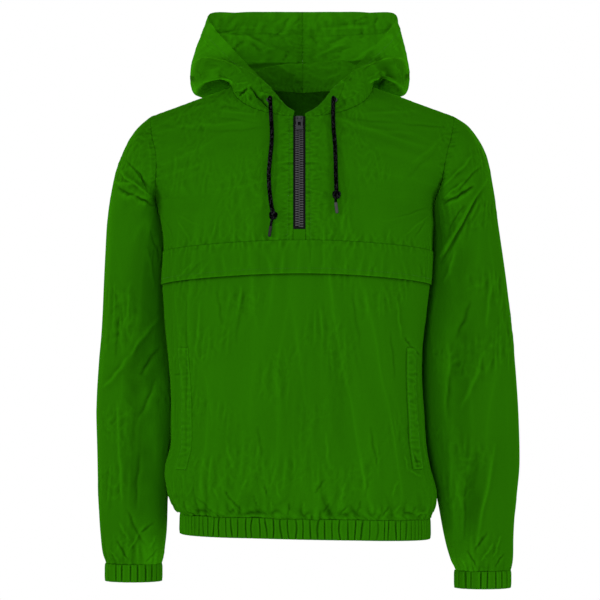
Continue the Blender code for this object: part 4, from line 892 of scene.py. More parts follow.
# colour shares of the painted shading: darker in painted shade, lighter in painted light
PAINTED_SHADING_TINT = (0.42, 1.86, -0.9, 1.9)
THREAD_NOISE = [Noise(2200.0, 2.0, (0.88, 1.1), (0.0001, 0.4))]
RIB_TINT, RIB_RELIEF = (0.8, 1.25), (0.00012, 0.5)
TAPE_NOISE = [Noise(900.0, 3.0, (0.8, 1.2), (0.0001, 0.3))]
# painted shade in the gaps between the braid's strands and painted highlight on their crests
STRAND_PAINTED_LIGHT_AND_SHADE, STRAND_RELIEF = (0.1, 3.0), (0.0005, 0.9)
# fine random grey, and light flecks that are painted highlights on the strands
BRAID_NOISE = [Noise(1800.0, 3.0, (0.6, 1.5), (0.0001, 0.4)),
               Noise(420.0, 1.0, (0.2, 8.0, 0.48, 0.74))]
METAL_NOISE = [Noise(140.0, 3.0, (0.8, 1.25), (0.0002, 0.2)),
               Noise(1500.0, 3.0, (0.9, 1.12), (0.00005, 0.3))]
FLOOR_NOISE = [Noise(3.0, 4.0, (0.97, 1.02))]


class Finish:
    """A material's node tree, with short calls for its nodes."""

    def __init__(self, name, colour, roughness, metallic=0.0, specular=0.5, sheen=0.0):
        self.material = bpy.data.materials.new(name)
        self.material.use_nodes = True
        self.material.diffuse_color = (*colour, 1.0)
        self.tree = self.material.node_tree
        self.shader = self.tree.nodes["Principled BSDF"]
        self.base, self.tints, self.normal = colour, [], None
        settings = {"Roughness": roughness, "Metallic": metallic, "Specular IOR Level": specular,
                    "Sheen Weight": sheen, "Sheen Roughness": SHEEN_ROUGHNESS}
        for socket, value in settings.items():
            self.shader.inputs[socket].default_value = value

    def node(self, kind, inputs=(), **settings):
        made = self.tree.nodes.new("ShaderNode" + kind)
        for key, value in settings.items():
            setattr(made, key, value)
        for key, value in dict(inputs).items():
            if isinstance(value, bpy.types.NodeSocket):
                self.tree.links.new(value, made.inputs[key])
            else:
                made.inputs[key].default_value = value
        return made

    def place(self, stretch=(1.0, 1.0, 1.0), uv=False):
        """Coordinates in metres: the row frame's, or the cloth's own grain."""
        source = (self.node("UVMap").outputs["UV"] if uv
                  else self.node("TexCoord").outputs["Object"])
        return self.node("Mapping", {"Vector": source, "Scale": stretch}).outputs["Vector"]

    def joined(self, operation, values):
        """One value of several, two at a time."""
        result = values[0]
        for value in values[1:]:
            result = self.node("Math", {0: result, 1: value}, operation=operation).outputs[0]
        return result

    def pattern(self, value, tint=(), relief=()):
        """Add a pattern from 0 to 1 to the colour's tints, to the bump or to both."""
        if tint:
            keys = ("To Min", "To Max", "From Min", "From Max")
            self.tints.append(self.node("MapRange", {"Value": value, **dict(zip(keys, tint))}).outputs[0])
        if relief:
            inputs = {"Height": value, "Distance": relief[0], "Strength": relief[1]}
            if self.normal is not None:
                inputs["Normal"] = self.normal
            self.normal = self.node("Bump", inputs).outputs[0]

    def noises(self, layers):
        for layer in layers:
            inputs = {"Vector": self.place(layer.stretch), "Scale": layer.cells,
                      "Detail": layer.octaves, "Roughness": NOISE_ROUGHNESS}
            made = self.node("TexNoise", inputs, noise_type=layer.kind)
            self.pattern(made.outputs[0], layer.tint, layer.relief)

    def bands(self, place, pitch, direction):
        inputs = {"Vector": place, "Scale": WAVE_PITCH / pitch}
        return self.node("TexWave", inputs, bands_direction=direction).outputs["Fac"]

    def let_light_through(self, share):
        """Thin cloth: light from behind shows through it."""
        output = self.tree.nodes["Material Output"]
        through_it = self.node("BsdfTranslucent", {"Color": (*self.base, 1.0)})
        mixed = self.node("MixShader", {0: share, 1: self.shader.outputs[0],
                                        2: through_it.outputs[0]})
        self.tree.links.new(mixed.outputs[0], output.inputs["Surface"])

    def finished(self):
        """The material, with its tints and its bump linked to the shader."""
        tint = self.joined("MULTIPLY", self.tints)
        colour = self.node("VectorMath", {0: self.base, "Scale": tint}, operation="SCALE")
        self.tree.links.new(colour.outputs[0], self.shader.inputs["Base Color"])
        if self.normal is not None:
            self.tree.links.new(self.normal, self.shader.inputs["Normal"])
        return self.material


def make_nylon():
    made = Finish("green_nylon_cloth", GREEN, 0.6, specular=0.0, sheen=0.25)
    made.shader.inputs["Sheen Tint"].default_value = (*SHEEN_TINT, 1.0)
    made.noises(NYLON_NOISE)
    grain = made.place(uv=True)
    weave = made.joined("MULTIPLY", [made.bands(grain, WEAVE_PITCH, axis) for axis in ("X", "Y")])
    made.pattern(weave, WEAVE_TINT, WEAVE_RELIEF)
    # painted light and shade, read from the cloth's points
    made.pattern(made.node("Attribute", attribute_name="painted_shading").outputs["Fac"], PAINTED_SHADING_TINT)
    made.let_light_through(SEE_THROUGH)
    return made.finished()


def make_thread():
    made = Finish("green_thread", THREAD, 0.6, specular=0.3, sheen=0.1)
    made.shader.inputs["Specular Tint"].default_value = (*THREAD_SHINE, 1.0)
    made.noises(THREAD_NOISE)
    return made.finished()


def make_tape():
    made = Finish("black_tape_cloth", TAPE_BLACK, 0.85, specular=0.06)
    made.pattern(made.bands(made.place(), RIB_PITCH, "DIAGONAL"), RIB_TINT, RIB_RELIEF)
    made.noises(TAPE_NOISE)
    return made.finished()


def make_braid():
    """Round braid: two sets of strands that cross, on a tube's own grain."""
    made = Finish("black_braid", CORD_BLACK, 0.85, specular=0.0)
    grain = made.place(uv=True)
    turned = [made.node("Mapping", {"Vector": grain, "Rotation": (0.0, 0.0, turn)}).outputs[0]
              for turn in (BRAID_TURN, -BRAID_TURN)]
    strands = made.joined("MAXIMUM", [made.bands(place, BRAID_PITCH, "X") for place in turned])
    # painted highlights on the strands and painted shade between them
    made.pattern(strands, STRAND_PAINTED_LIGHT_AND_SHADE, STRAND_RELIEF)
    made.noises(BRAID_NOISE)
    return made.finished()


def make_metal(name, colour, roughness, metallic, specular=0.5):
    made = Finish(name, colour, roughness, metallic, specular)
    made.noises(METAL_NOISE)
    return made.finished()


def make_floor():
    made = Finish("pale_floor", FLOOR_GREY, 0.7, specular=0.2)
    made.noises(FLOOR_NOISE)
    return made.finished()


# ---------------------------------------------------------------- relief of the cloth
Zone = namedtuple("Zone", "start over")                  # where something begins and takes over
Streaks = namedtuple("Streaks", "height cells seed")     # cells per metre along X, Y and Z
Crinkle = namedtuple("Crinkle", "height size stretch seed")
PleatRow = namedtuple("PleatRow", "spacing reach height")

SMALL_BEND, SMALL_SOFT = 0.5, 1.25       # of the smaller creases
PINCH_BEND, PINCH_SOFT = 0.3, 1.6        # of the narrow painted shades in the sharpest folds
SLEEVE_BACK_SHIFT = 0.006                # sideways, of the sleeves' creases on their backs
PATCH_CELLS, PATCH_GAIN, PATCH_BASE = 14.0, 2, 0.3       # of the patches with more crinkle

BELOW_FLAP = Zone(FLAP_SEAM_Z - 0.03, 0.02)
NEAR_HEM = Zone(-0.57, 0.03)
CHEST = Zone(FLAP_SEAM_Z, 0.08)
GATHERED = Zone(0.0, 0.008)              # up from a gathered seam
YOKE_STRONG, LOWER_STRONG, HEM_WEAKER = 0.7, 1.3, 0.4    # strength of the creases by height
CHEST_WEAKER = 0.6
SEAM_PINCH = 0.6                         # share of the relief that is left in a gathered seam
FAN = 0.9                # how far the streaks spread from the flap down to the hem
SHOULDER_RISE = 0.35     # slope of the streaks across the chest
LONG_STREAKS = Streaks(0.0021, (24.0, 24.0, 3.0), 21.0)
FINE_STREAKS = Streaks(0.0007, (95.0, 95.0, 12.0), 22.0)
CHEST_STREAKS = Streaks(0.0006, (6.0, 6.0, 46.0), 23.0)
BODY_CRINKLE = Crinkle(0.0005, 0.009, (1.0, 1.0, 0.5), 24.0)

PLEAT_NEAR = 3           # where pleats end, in reaches
PLEAT_TALL = 0.12        # cells up a pleat in its reach
PLEAT_FALL = 1.5
HEM_PLEATS = [PleatRow(0.005, 0.016, 0.0026), PleatRow(0.010, 0.034, 0.0030),
              PleatRow(0.024, 0.070, 0.0026)]
CUFF_PLEATS = [PleatRow(0.006, 0.014, 0.0020), PleatRow(0.010, 0.030, 0.0021),
               PleatRow(0.022, 0.070, 0.0024)]

BAND_GROOVES = {"waistband": (0.0028, 41.0), "left": (0.0030, 61.0), "right": (0.0030, 63.0)}
BAND_CELL_HIGH = 0.05    # height of the band against its turn of noise
UNEVEN, UNEVEN_RUN = 0.45, 7             # of the gathers' spacing, and its run in gathers
UNLIKE, UNLIKE_RUN = 0.8, 9              # of the gathers' depth, and its run in gathers
GROOVE_WIDE, GROOVE_FLOOR = 0.34, 0.4
BAND_PINCH, BAND_PINCH_HIGH = 0.6, 0.006


def rising(value, zone):
    return smooth_step((value - zone.start) / zone.over)


def falling(value, zone):
    return smooth_step((zone.start - value) / zone.over)


def streaks(points, layer):
    """Long uneven streaks with crests sharper than their sides."""
    return layer.height * ridged(noise_at(points, layer.cells, layer.seed))


def crinkle(points, layer):
    return layer.height * crumple(points * layer.stretch, layer.size, layer.seed)


def patches(points, seed):
    """Where the cloth is more crinkled, from 0 to 1."""
    return smooth_step(noise_at(points, PATCH_CELLS, seed) * PATCH_GAIN + PATCH_BASE)


def small_creases(x, z, rows, shift=0.0):
    return creases(x, z, folds_of(rows), shift, SMALL_BEND, SMALL_SOFT)


def painted_fold_shades(x, z, rows):
    """Painted shades of the sharpest folds, on the scale of the painted shading."""
    return 1000 * creases(x, z, folds_of(rows), bend=PINCH_BEND, soft=PINCH_SOFT)


def pleats(points, above, layers, seed):
    """Pleats that rise from a gathered seam, in layers of their own size."""
    height = np.zeros(above.shape)
    for number, layer in enumerate(layers):
        near = above < PLEAT_NEAR * layer.reach
        rise = np.maximum(above[near], 0.0) / layer.reach
        cells = (0.5 / layer.spacing, 0.5 / layer.spacing, PLEAT_TALL / layer.reach)
        groove = ridged(noise_at(points[near], cells, seed + number))
        height[near] -= layer.height * groove * np.exp(-rise ** PLEAT_FALL)
    return height


def body_relief(points, facing):
    x, z = points[..., 0], points[..., 2]
    above_hem = z - (HEM_SEAM_Z - HEM_FALL * x / SHOULDER_HALF)
    strong = mix(YOKE_STRONG, LOWER_STRONG, falling(z, BELOW_FLAP)) - HEM_WEAKER * falling(z, NEAR_HEM)
    height = strong * small_creases(x, z, FRONT_CREASES if facing < 0 else BACK_CREASES)
    chest = rising(z, CHEST)
    fanned = points / point_of(1 + FAN * (FLAP_SEAM_Z - z), 1.0, 1.0)
    risen = points + point_of(0.0, 0.0, SHOULDER_RISE * np.abs(x))
    crinkled = patches(points, seed=25.0)
    height += pleats(fanned, above_hem, HEM_PLEATS, seed=11.0)
    height += (1 - chest) * streaks(fanned, LONG_STREAKS)
    height += (1 - CHEST_WEAKER * chest) * crinkled * streaks(fanned, FINE_STREAKS)
    height += chest * streaks(risen, CHEST_STREAKS)
    height += crinkled * crinkle(points, BODY_CRINKLE)
    return height


def elastic(cloth, count, depth, seed):
    """Uneven narrow grooves of an elastic band, shallower at both its edges."""
    angle = cloth.u * 2 * np.pi
    ring = point_of(np.cos(angle), np.sin(angle), cloth.v * BAND_CELL_HIGH)
    phase = cloth.u * count + UNEVEN * noise_at(ring, count / UNEVEN_RUN, seed)
    groove = np.exp(-(np.sin(np.pi * phase) / GROOVE_WIDE) ** 2)
    swell = 1 + UNLIKE * noise_at(ring, count / UNLIKE_RUN, seed + 1)
    pinch = mix(BAND_PINCH, 1.0, cloth.fade(("foot", "top"), BAND_PINCH_HIGH))
    cloth.height += depth * (GROOVE_FLOOR - groove) * swell * pinch


# ---------------------------------------------------------------- cloth pieces
SEAM_CLEAR = 0.014       # distance over which the relief comes up from the body's seams
ZIP_STITCH_FROM = 0.0060
FLAP_STITCH_UP = 0.0070
FLAP_STITCH_DEPTH = 0.00015
WELT_STITCH_IN = 0.0030
WELT_PROUD = {"left": 0.0034, "right": 0.0018}
WELT_EDGE = 0.0022
WELT_UNEVEN = 0.25       # streaks on the welts, as a share of how proud they are
WELT_STREAKS = Streaks(1.0, (60.0, 60.0, 130.0), 31.0)
FLAP_STREAKS = Streaks(0.0010, (60.0, 60.0, 14.0), 32.0)
FLAP_CREASES = 0.6       # strength of the body's creases on the flap
FLAP_CLEAR, FLAP_STREAKS_FROM = 0.01, 0.04
# width of the painted highlight along the flap's free edge, and how light it is
FLAP_EDGE, FLAP_EDGE_PAINTED_HIGHLIGHT = 0.0012, 0.25
# painted shadow of the flap's free edge on the lower front, and its place and width below it
UNDER_FLAP_PAINTED_SHADOW = -0.7
UNDER_FLAP = Zone(0.001, 0.0025)
# painted shade on the back's inner side in the neck, under the hood, and where it starts
BACK_NECK_PAINTED_SHADE = -0.7
BACK_NECK = Zone(-0.055, 0.03)

SLEEVE_STRONG = 1.3      # strength of the creases on the sleeves
SLEEVE_SIDES = 3         # how fast a sleeve's front goes over into its back
SLEEVE_LONG_STREAKS = Streaks(0.0009, (24.0, 24.0, 3.5), 51.0)
SLEEVE_FINE_STREAKS = Streaks(0.0007, (90.0, 90.0, 14.0), 54.0)
SLEEVE_CRINKLE = Crinkle(0.0006, 0.010, (1.0, 1.0, 0.6), 52.0)
SLEEVE_CLEAR = 0.012
INNER_SIDE = Zone(0.75, 0.15)            # of a sleeve, where its relief can't meet the body
# painted light on a sleeve's inner side, which faces the body, and how far round it reaches
INNER_SIDE_PAINTED_LIGHT, INNER_SIDE_PAINTED_LIGHT_OVER = 0.95, 0.8

CASING = 0.025           # depth of the hem turned in along the hood's brim
CASING_PUCKER = Streaks(0.0011, 1.0, 73.0)
CASING_WAVE = (0.010, 0.03)              # of the puckers, along and across the stitches
CASING_REACH, CASING_STITCH_DEPTH = 0.012, 0.0007
HOOD_CLEAR, BRIM_CLEAR = 0.012, 0.03
NECK_VALLEY_OVER = 0.02  # depth from the middle to the front, over which the neck seam sinks in
HOOD_CREASE_STRONG = 1.8
HOOD_CRINKLES = [Crinkle(0.0009, 0.022, 1.0, 71.0), Crinkle(0.0003, 0.008, 1.0, 74.0)]
HOOD_SWELL = (0.0010, 12.0, 72.0)        # height, cells per metre and seed
INSIDE_V, INSIDE_Y = Zone(0.56, 0.08), Zone(0.03, 0.04)
OUTSIDE_Y = Zone(0.07, 0.04)
REAR_Y = Zone(0.03, 0.02)
# painted light on the hood's inner side, and where it rises
LIGHT_V, HOOD_INSIDE_PAINTED_LIGHT = Zone(0.35, 0.30), 0.8
CREST_V, CREST_PAINTED_SHADOW = Zone(0.205, 0.01), -1.6            # painted shadow behind the inner fold
CREST_SHADE, CREST_SHADE_UP = 0.08, 0.0015               # that painted shadow's slope, and start above it
CREST_DARK, CREST_LIGHT = Zone(0.0, 0.002), Zone(0.014, 0.010)
# painted light on the lobes' undersides, which face down
DOWNWARD, UNDER_V, UNDERSIDE_PAINTED_LIGHT = Zone(0.05, 0.6), Zone(0.15, 0.1), 1.7
# painted shadow of the hood's front edge on the stand
STAND_V, STAND_Y, STAND_PAINTED_SHADOW = Zone(0.2, 0.02), Zone(0.02, 0.02), -0.5
STAND_SLOPE, STAND_SHADE = 1.6, Zone(0.0, 0.010)
STAND_POINT = (-0.020, 0.030)            # X and Z of a point on the edge of the stand's slanted painted shadow
SEAM_STRIP, STRIP_PAINTED_SHADE = 0.009, -0.45    # centre seam allowance, turned to one side, and the painted shade that marks it


Sheet = namedtuple("Sheet", "flat area columns rows")
SHEETS = {               # flat size and area that shows; grid from its size and step in metres
    "front_yoke": Sheet((0.245, 0.250), 0.058, shares(0.23, 0.0016), shares(0.25, 0.0016)),
    "front_lower": Sheet((0.56, 0.43), 0.225, shares(0.56, 0.0018), shares(0.42, 0.0018)),
    "back": Sheet((0.60, 0.69), 0.355, shares(0.56, 0.0027), shares(0.70, 0.0027)),
    "pocket_flap": Sheet((0.56, 0.062), None, shares(0.56, 0.0016), shares(FLAP_HEIGHT, 0.0016)),
    "side_welt": Sheet((0.026, 0.195), None, shares(2 * WELT_HALF, 0.0016), shares(0.19, 0.0016)),
    "waistband": Sheet((1.30, 0.058), None, turns(HEM_GATHERS * 11), shares(HEM_BAND, 0.0026)),
    "sleeve": Sheet((0.44, 0.66), 0.235, turns(188), shares(0.66, 0.0021)),
    "cuff": Sheet((0.36, 0.054), None, turns(CUFF_GATHERS * 12), shares(CUFF_BAND, 0.0024)),
    "hood": Sheet((0.36, 0.34), 0.098, shares(0.36, 0.0017), shares(0.30, 0.0016)),
}
ALL_EDGES = ("foot", "top", "start", "end")
Seam = namedtuple("Seam", "edge pucker wave reach seed valley",
                  defaults=(0.0006, 0.007, 0.012, 1.0, VALLEY))
SEAMS = {
    "front_yoke": [Seam("foot", 0.0008), Seam("top", 0.0005), Seam("end"),
                   Seam("start", 0.0009, 0.0055, 0.018, seed=4.0)],
    "front_lower": [Seam(edge, seed=6.0) for edge in ALL_EDGES],
    "back": [Seam("foot", seed=5.0), Seam("start", seed=5.0), Seam("end", seed=5.0),
             Seam("top", seed=5.0, valley=0.0)],
    "pocket_flap": [Seam("top", 0.0009, 0.009, seed=7.0, valley=VALLEY / 2)],
    "waistband": [Seam("top", 0.0)],
    "sleeve": [Seam("foot", 0.0008, seed=8.0), Seam("top", 0.0, seed=8.0)],
    "cuff": [Seam("foot", 0.0)],
    "hood": [Seam("foot", 0.0008, seed=9.0, valley=0.0), Seam("end", seed=10.0, valley=VALLEY / 2)],
}


def cloth_of(name, kind, surface, outward, wraps=False):
    return Cloth(name, surface, SHEETS[kind].columns, SHEETS[kind].rows, outward, wraps)


def sheet_of(cloth, kind, nylon, side=None, sewn=(), turned=(), hem=0.0):
    """Sew a cloth at its seams, and build it as a sheet that stands for its CAD solid."""
    for seam in SEAMS.get(kind, ()):
        cloth.sew(*seam)
    made = cloth.build(nylon, sewn, turned, hem)
    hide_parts(f"{kind}_{side}" if side else kind)
    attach(made, "garment")
    return cloth


def make_yoke(side, nylon):
    cloth = cloth_of(f"yoke_cloth_{side}", "front_yoke", lambda u, v: panel(side, -1, u, v), SIDES[side])
    cloth.height += body_relief(cloth.base, -1) * cloth.fade(("start", "end", "top"), SEAM_CLEAR)
    cloth.stitched(cloth.to_edge["start"] - ZIP_STITCH_FROM)
    return sheet_of(cloth, "front_yoke", nylon, side, sewn=ALL_EDGES)


def make_back(nylon):
    cloth = cloth_of("back_cloth", "back", back, -1)
    gathered = mix(SEAM_PINCH, 1.0, rising(cloth.to_edge["foot"], GATHERED))
    clear = cloth.fade(("start", "end", "top"), SEAM_CLEAR)
    cloth.height += body_relief(cloth.base, 1) * clear * gathered
    # painted shade inside the neck
    cloth.painted_light_and_shade = BACK_NECK_PAINTED_SHADE * rising(cloth.base[..., 2], BACK_NECK)
    cloth.lip, cloth.deep = SHORT_LIP, ("foot",)
    return sheet_of(cloth, "back", nylon, sewn=ALL_EDGES)


def make_lower_front(nylon):
    cloth = cloth_of("lower_front_cloth", "front_lower", lower_front, 1)
    gathered = mix(SEAM_PINCH, 1.0, rising(cloth.to_edge["foot"], GATHERED))
    cloth.height += body_relief(cloth.base, -1) * cloth.fade(("start", "end"), SEAM_CLEAR) * gathered
    # painted shadow just below the flap's free edge
    below_flap = flap_seam_z((2 * cloth.u - 1) * np.pi / 2) - FLAP_HEIGHT - cloth.base[..., 2]
    in_shade = np.exp(-((below_flap - UNDER_FLAP.start) / UNDER_FLAP.over) ** 2)
    cloth.painted_light_and_shade = UNDER_FLAP_PAINTED_SHADOW * in_shade
    cloth.deep = ("foot",)
    return sheet_of(cloth, "front_lower", nylon, sewn=ALL_EDGES)


def make_flap(nylon):
    cloth = cloth_of("pocket_flap_cloth", "pocket_flap", flap, 1)
    cloth.height += FLAP_LIFT + (1 - cloth.v) * FLAP_FLARE * np.sin(cloth.u * np.pi)
    clear = cloth.fade(("top", "start", "end"), FLAP_CLEAR)
    cloth.height += body_relief(cloth.base, -1) * FLAP_CREASES * clear
    cloth.height += cloth.fade(("top",), FLAP_STREAKS_FROM) * streaks(cloth.base, FLAP_STREAKS)
    # painted highlight on the flap's free edge
    cloth.painted_light_and_shade = FLAP_EDGE_PAINTED_HIGHLIGHT * (cloth.to_edge["foot"] < FLAP_EDGE)
    cloth.stitched(cloth.to_edge["foot"] - FLAP_STITCH_UP, depth=FLAP_STITCH_DEPTH)
    return sheet_of(cloth, "pocket_flap", nylon, sewn=("top", "start", "end"), turned=("foot",),
                    hem=0.010)


def make_welt(side, nylon):
    cloth = cloth_of(f"welt_cloth_{side}", "side_welt", lambda u, v: welt(side, u, v), 1)
    cloth.height += WELT_PROUD[side] * cloth.fade(ALL_EDGES, WELT_EDGE)
    cloth.height += body_relief(cloth.base, -1)
    cloth.height += WELT_UNEVEN * WELT_PROUD[side] * streaks(cloth.base, WELT_STREAKS)
    for edge in ("start", "end"):
        cloth.stitched(cloth.to_edge[edge] - WELT_STITCH_IN)
    return sheet_of(cloth, "side_welt", nylon, side, sewn=ALL_EDGES)


def make_waistband(nylon):
    cloth = cloth_of("waistband_cloth", "waistband", waistband, 1, wraps=True)
    elastic(cloth, HEM_GATHERS, *BAND_GROOVES["waistband"])
    cloth.deep = ("top",)
    return sheet_of(cloth, "waistband", nylon, sewn=("top",), turned=("foot",), hem=0.026)


def sleeve_relief(side, points, facing, inward):
    x, z = np.abs(points[..., 0]), points[..., 2]
    rows = SLEEVE_CREASES[side]
    height = small_creases(x, z, rows) * smooth_step(facing * SLEEVE_SIDES)
    height += small_creases(x, z, rows, SLEEVE_BACK_SHIFT) * smooth_step(-facing * SLEEVE_SIDES)
    height *= SLEEVE_STRONG
    crinkled = patches(points, seed=55.0)
    height += streaks(points, SLEEVE_LONG_STREAKS)
    height += crinkled * streaks(points, SLEEVE_FINE_STREAKS)
    height += crinkled * crinkle(points, SLEEVE_CRINKLE)
    return mix(height, np.maximum(height, 0.0), rising(inward, INNER_SIDE))


def make_sleeve(side, nylon):
    cloth = cloth_of(f"sleeve_cloth_{side}", "sleeve", lambda u, v: sleeve(side, u, v), SIDES[side],
                     wraps=True)
    points, to_cuff = cloth.base, cloth.to_edge["top"]
    facing, inward = np.sin(cloth.u * 2 * np.pi), -np.cos(cloth.u * 2 * np.pi)
    gathered = mix(SEAM_PINCH, 1.0, rising(to_cuff, GATHERED))
    relief = sleeve_relief(side, points, facing, inward)
    cloth.height += relief * cloth.fade(("foot",), SLEEVE_CLEAR)
    cloth.height += pleats(points, to_cuff, CUFF_PLEATS, seed=53.0) * gathered
    shades = painted_fold_shades(np.abs(points[..., 0]), points[..., 2], SLEEVE_PAINTED_FOLD_SHADES[side])
    # painted light on the inner side, less the painted shades in the sharpest folds
    cloth.painted_light_and_shade = (INNER_SIDE_PAINTED_LIGHT * smooth_step(inward / INNER_SIDE_PAINTED_LIGHT_OVER)
                    - shades * smooth_step(facing * SLEEVE_SIDES))
    cloth.deep = ("top",)
    return sheet_of(cloth, "sleeve", nylon, side, sewn=("foot", "top"))


def make_cuff(side, nylon):
    cloth = cloth_of(f"cuff_cloth_{side}", "cuff", lambda u, v: cuff(side, u, v), SIDES[side],
                     wraps=True)
    elastic(cloth, CUFF_GATHERS, *BAND_GROOVES[side])
    cloth.deep = ("foot",)
    return sheet_of(cloth, "cuff", nylon, side, sewn=("foot",), turned=("top",), hem=0.022)


def hood_painted_shading(cloth, side, inside, lobe, clear):
    """Painted shadow behind the inner fold, painted shades in the lobes' pinches, painted light on the
    inner side and the undersides; on the right also painted shade on the stand and seam strip.
    """
    x, y, z = (cloth.base[..., axis] for axis in range(3))
    # where the inner fold's painted shadow falls on the cloth behind it
    crest = cloth.base[np.argmin(np.abs(cloth.v[:, 0] - HOOD_KNOTS[2]))]
    shade_top = crest[:, 2] + CREST_SHADE * (y - crest[:, 1]) + CREST_SHADE_UP
    below = shade_top - z
    behind_crest = rising(cloth.v, CREST_V) * rising(below, CREST_DARK) * falling(below, CREST_LIGHT)
    # painted light on the inner side, less the painted shadow behind the inner fold
    painted_shading = rising(y, REAR_Y) * (HOOD_INSIDE_PAINTED_LIGHT * rising(cloth.v, LIGHT_V) + CREST_PAINTED_SHADOW * behind_crest)
    # painted light where the lobes face down
    facing_down = rising(-cloth.out[..., 2], DOWNWARD) * (1 - inside)
    painted_shading = painted_shading + UNDERSIDE_PAINTED_LIGHT * facing_down * rising(cloth.v, UNDER_V)
    # painted shades in the lobes' sharpest folds
    painted_shading = painted_shading - painted_fold_shades(x, z, HOOD_PAINTED_FOLD_SHADES) * lobe * clear
    if side == "right":
        # painted shadow on the stand
        stand = falling(cloth.v, STAND_V) * rising(y, STAND_Y)
        to_shade = x - STAND_POINT[0] - STAND_SLOPE * (STAND_POINT[1] - z)
        painted_shading = painted_shading + STAND_PAINTED_SHADOW * stand * falling(to_shade, STAND_SHADE)
        # painted shade along the centre seam allowance
        painted_shading = painted_shading + STRIP_PAINTED_SHADE * (cloth.to_edge["end"] < SEAM_STRIP) * inside
    return painted_shading


def make_hood(side, nylon):
    cloth = cloth_of(f"hood_cloth_{side}", "hood", lambda u, v: hood(side, u, v), SIDES[side])
    points, y = cloth.base, cloth.base[..., 1]
    clear = cloth.fade(("foot", "end"), HOOD_CLEAR) * cloth.fade(("start",), BRIM_CLEAR)
    inside = rising(cloth.v, INSIDE_V) * rising(y, INSIDE_Y)
    behind = (1 - inside) * rising(y, OUTSIDE_Y)
    lobe = 1 - inside - behind
    swell, cells, seed = HOOD_SWELL
    height = sum(crinkle(points, layer) for layer in HOOD_CRINKLES) + swell * noise_at(points, cells, seed)
    for region, share in (("inside", inside), ("outside", behind), ("lobe", lobe)):
        small = small_creases(points[..., 0], points[..., 2], HOOD_CREASES[region])
        height += HOOD_CREASE_STRONG * share * small
    cloth.height += height * clear
    cloth.shown = 1 - 2 * inside
    cloth.lip = SHORT_LIP
    cloth.painted_light_and_shade = hood_painted_shading(cloth, side, inside, lobe, clear)
    cloth.valley("foot", VALLEY * smooth_step(-y / NECK_VALLEY_OVER))
    to_line = cloth.to_edge["top"] - CASING
    place = point_of(cloth.along_u / CASING_WAVE[0], to_line / CASING_WAVE[1], 2.0)
    near_line = np.exp(-(to_line / CASING_REACH) ** 2)
    cloth.height += streaks(place, CASING_PUCKER) * near_line * clear
    cloth.stitched(to_line, depth=CASING_STITCH_DEPTH)
    return sheet_of(cloth, "hood", nylon, side, sewn=("foot", "end"), turned=("top", "start"),
                    hem=CASING)


# ---------------------------------------------------------------- sewing
STITCH = 0.0026
STITCH_PITCH = 0.0036
STITCH_THICK = 0.0006
STITCH_SIDES = 5
STITCH_FULL = 0.28       # half the stretch of full thickness, as a share of the length
STITCH_SUNK = 0.3        # how deep its ends go, as a share of the thickness
LOOK_AHEAD = 0.001       # along a line, to find its direction


def at_places(at, down, rows):
    return np.stack([np.interp(at, down, rows[:, axis]) for axis in range(3)], axis=-1)


def stitch_row(points, out):
    """Centres and directions of evenly spaced stitches down a line on the cloth."""
    down = length_down(points)
    count = int(down[-1] / STITCH_PITCH)
    at = (np.arange(count) + 0.5) * down[-1] / count
    centres, ahead = at_places(at, down, points), at_places(at + LOOK_AHEAD, down, points)
    normals = unit(at_places(at, down, out))
    return centres[:-1], unit(ahead - centres)[:-1], normals[:-1]


def stitch_shape():
    """Points and faces of one stitch: two rings, with a point in the cloth at each end."""
    ring = np.arange(STITCH_SIDES) * 2 * np.pi / STITCH_SIDES
    points = [(-0.5, 0.0, -STITCH_SUNK)]
    points += [(x, np.cos(a) * 0.5, np.sin(a) * 0.5) for x in (-STITCH_FULL, STITCH_FULL) for a in ring]
    points += [(0.5, 0.0, -STITCH_SUNK)]
    faces, last = [], 2 * STITCH_SIDES + 1
    for i in range(STITCH_SIDES):
        a, b = 1 + i, 1 + (i + 1) % STITCH_SIDES
        faces += [(0, b, a), (a, b, b + STITCH_SIDES, a + STITCH_SIDES),
                  (a + STITCH_SIDES, b + STITCH_SIDES, last)]
    return np.array(points) * (STITCH, STITCH_THICK, STITCH_THICK), faces


def make_stitches(name, lines, thread):
    """Small raised threads along lines of (points, normals)."""
    shape, shape_faces = stitch_shape()
    points, faces, start = [], [], 0
    for line in lines:
        centre, along, out = stitch_row(*line)
        for c, a, s, o in zip(centre, along, np.cross(out, along), out):
            points.append(c + shape @ np.array([a, s, o]))
            faces += [tuple(start + i for i in face) for face in shape_faces]
            start += len(shape)
    made = object_of(name, np.concatenate(points).tolist(), faces, thread)
    made.data.shade_smooth()
    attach(made, "garment")
    return made


# ---------------------------------------------------------------- zip
TOOTH_PITCH = 0.0037
TOOTH = (0.0072, 0.0027, 0.0018)         # across, along, thick
TOOTH_PAST_CENTRE = 0.0012
TOOTH_HEAD = 0.45        # the part that locks, as a share of the tooth's length along the zip
TOOTH_LAYERS = [(1.0, 0.0), (1.0, 0.62), (0.86, 0.9), (0.6, 1.0)]        # share of size, share up
TEETH_START = 0.0020     # above the tape's end
ROW_START = {-1: 1.0, 1: 0.5}            # of each row, in pitches
ZIP_POINTS = 200


def zip_centre_line():
    """Points and normals up the zip's centre, at the height of the tape's face."""
    high_z = neckline(ZIP_X, -1) - SLIDER_BELOW - SLIDER_SIZE[2]
    v = np.linspace(0.0, 1.0, ZIP_POINTS)
    u = np.full(ZIP_POINTS, 0.5)
    points = zip_strip(ZIP_HALF, ZIP_BOTTOM_Z + TEETH_START, high_z, u, v)
    up = unit(np.gradient(points, axis=0))
    out = unit(np.cross(point_of(1.0, 0.0, 0.0), up))
    return points + out * (SEAM - TAPE_DEPTH), out


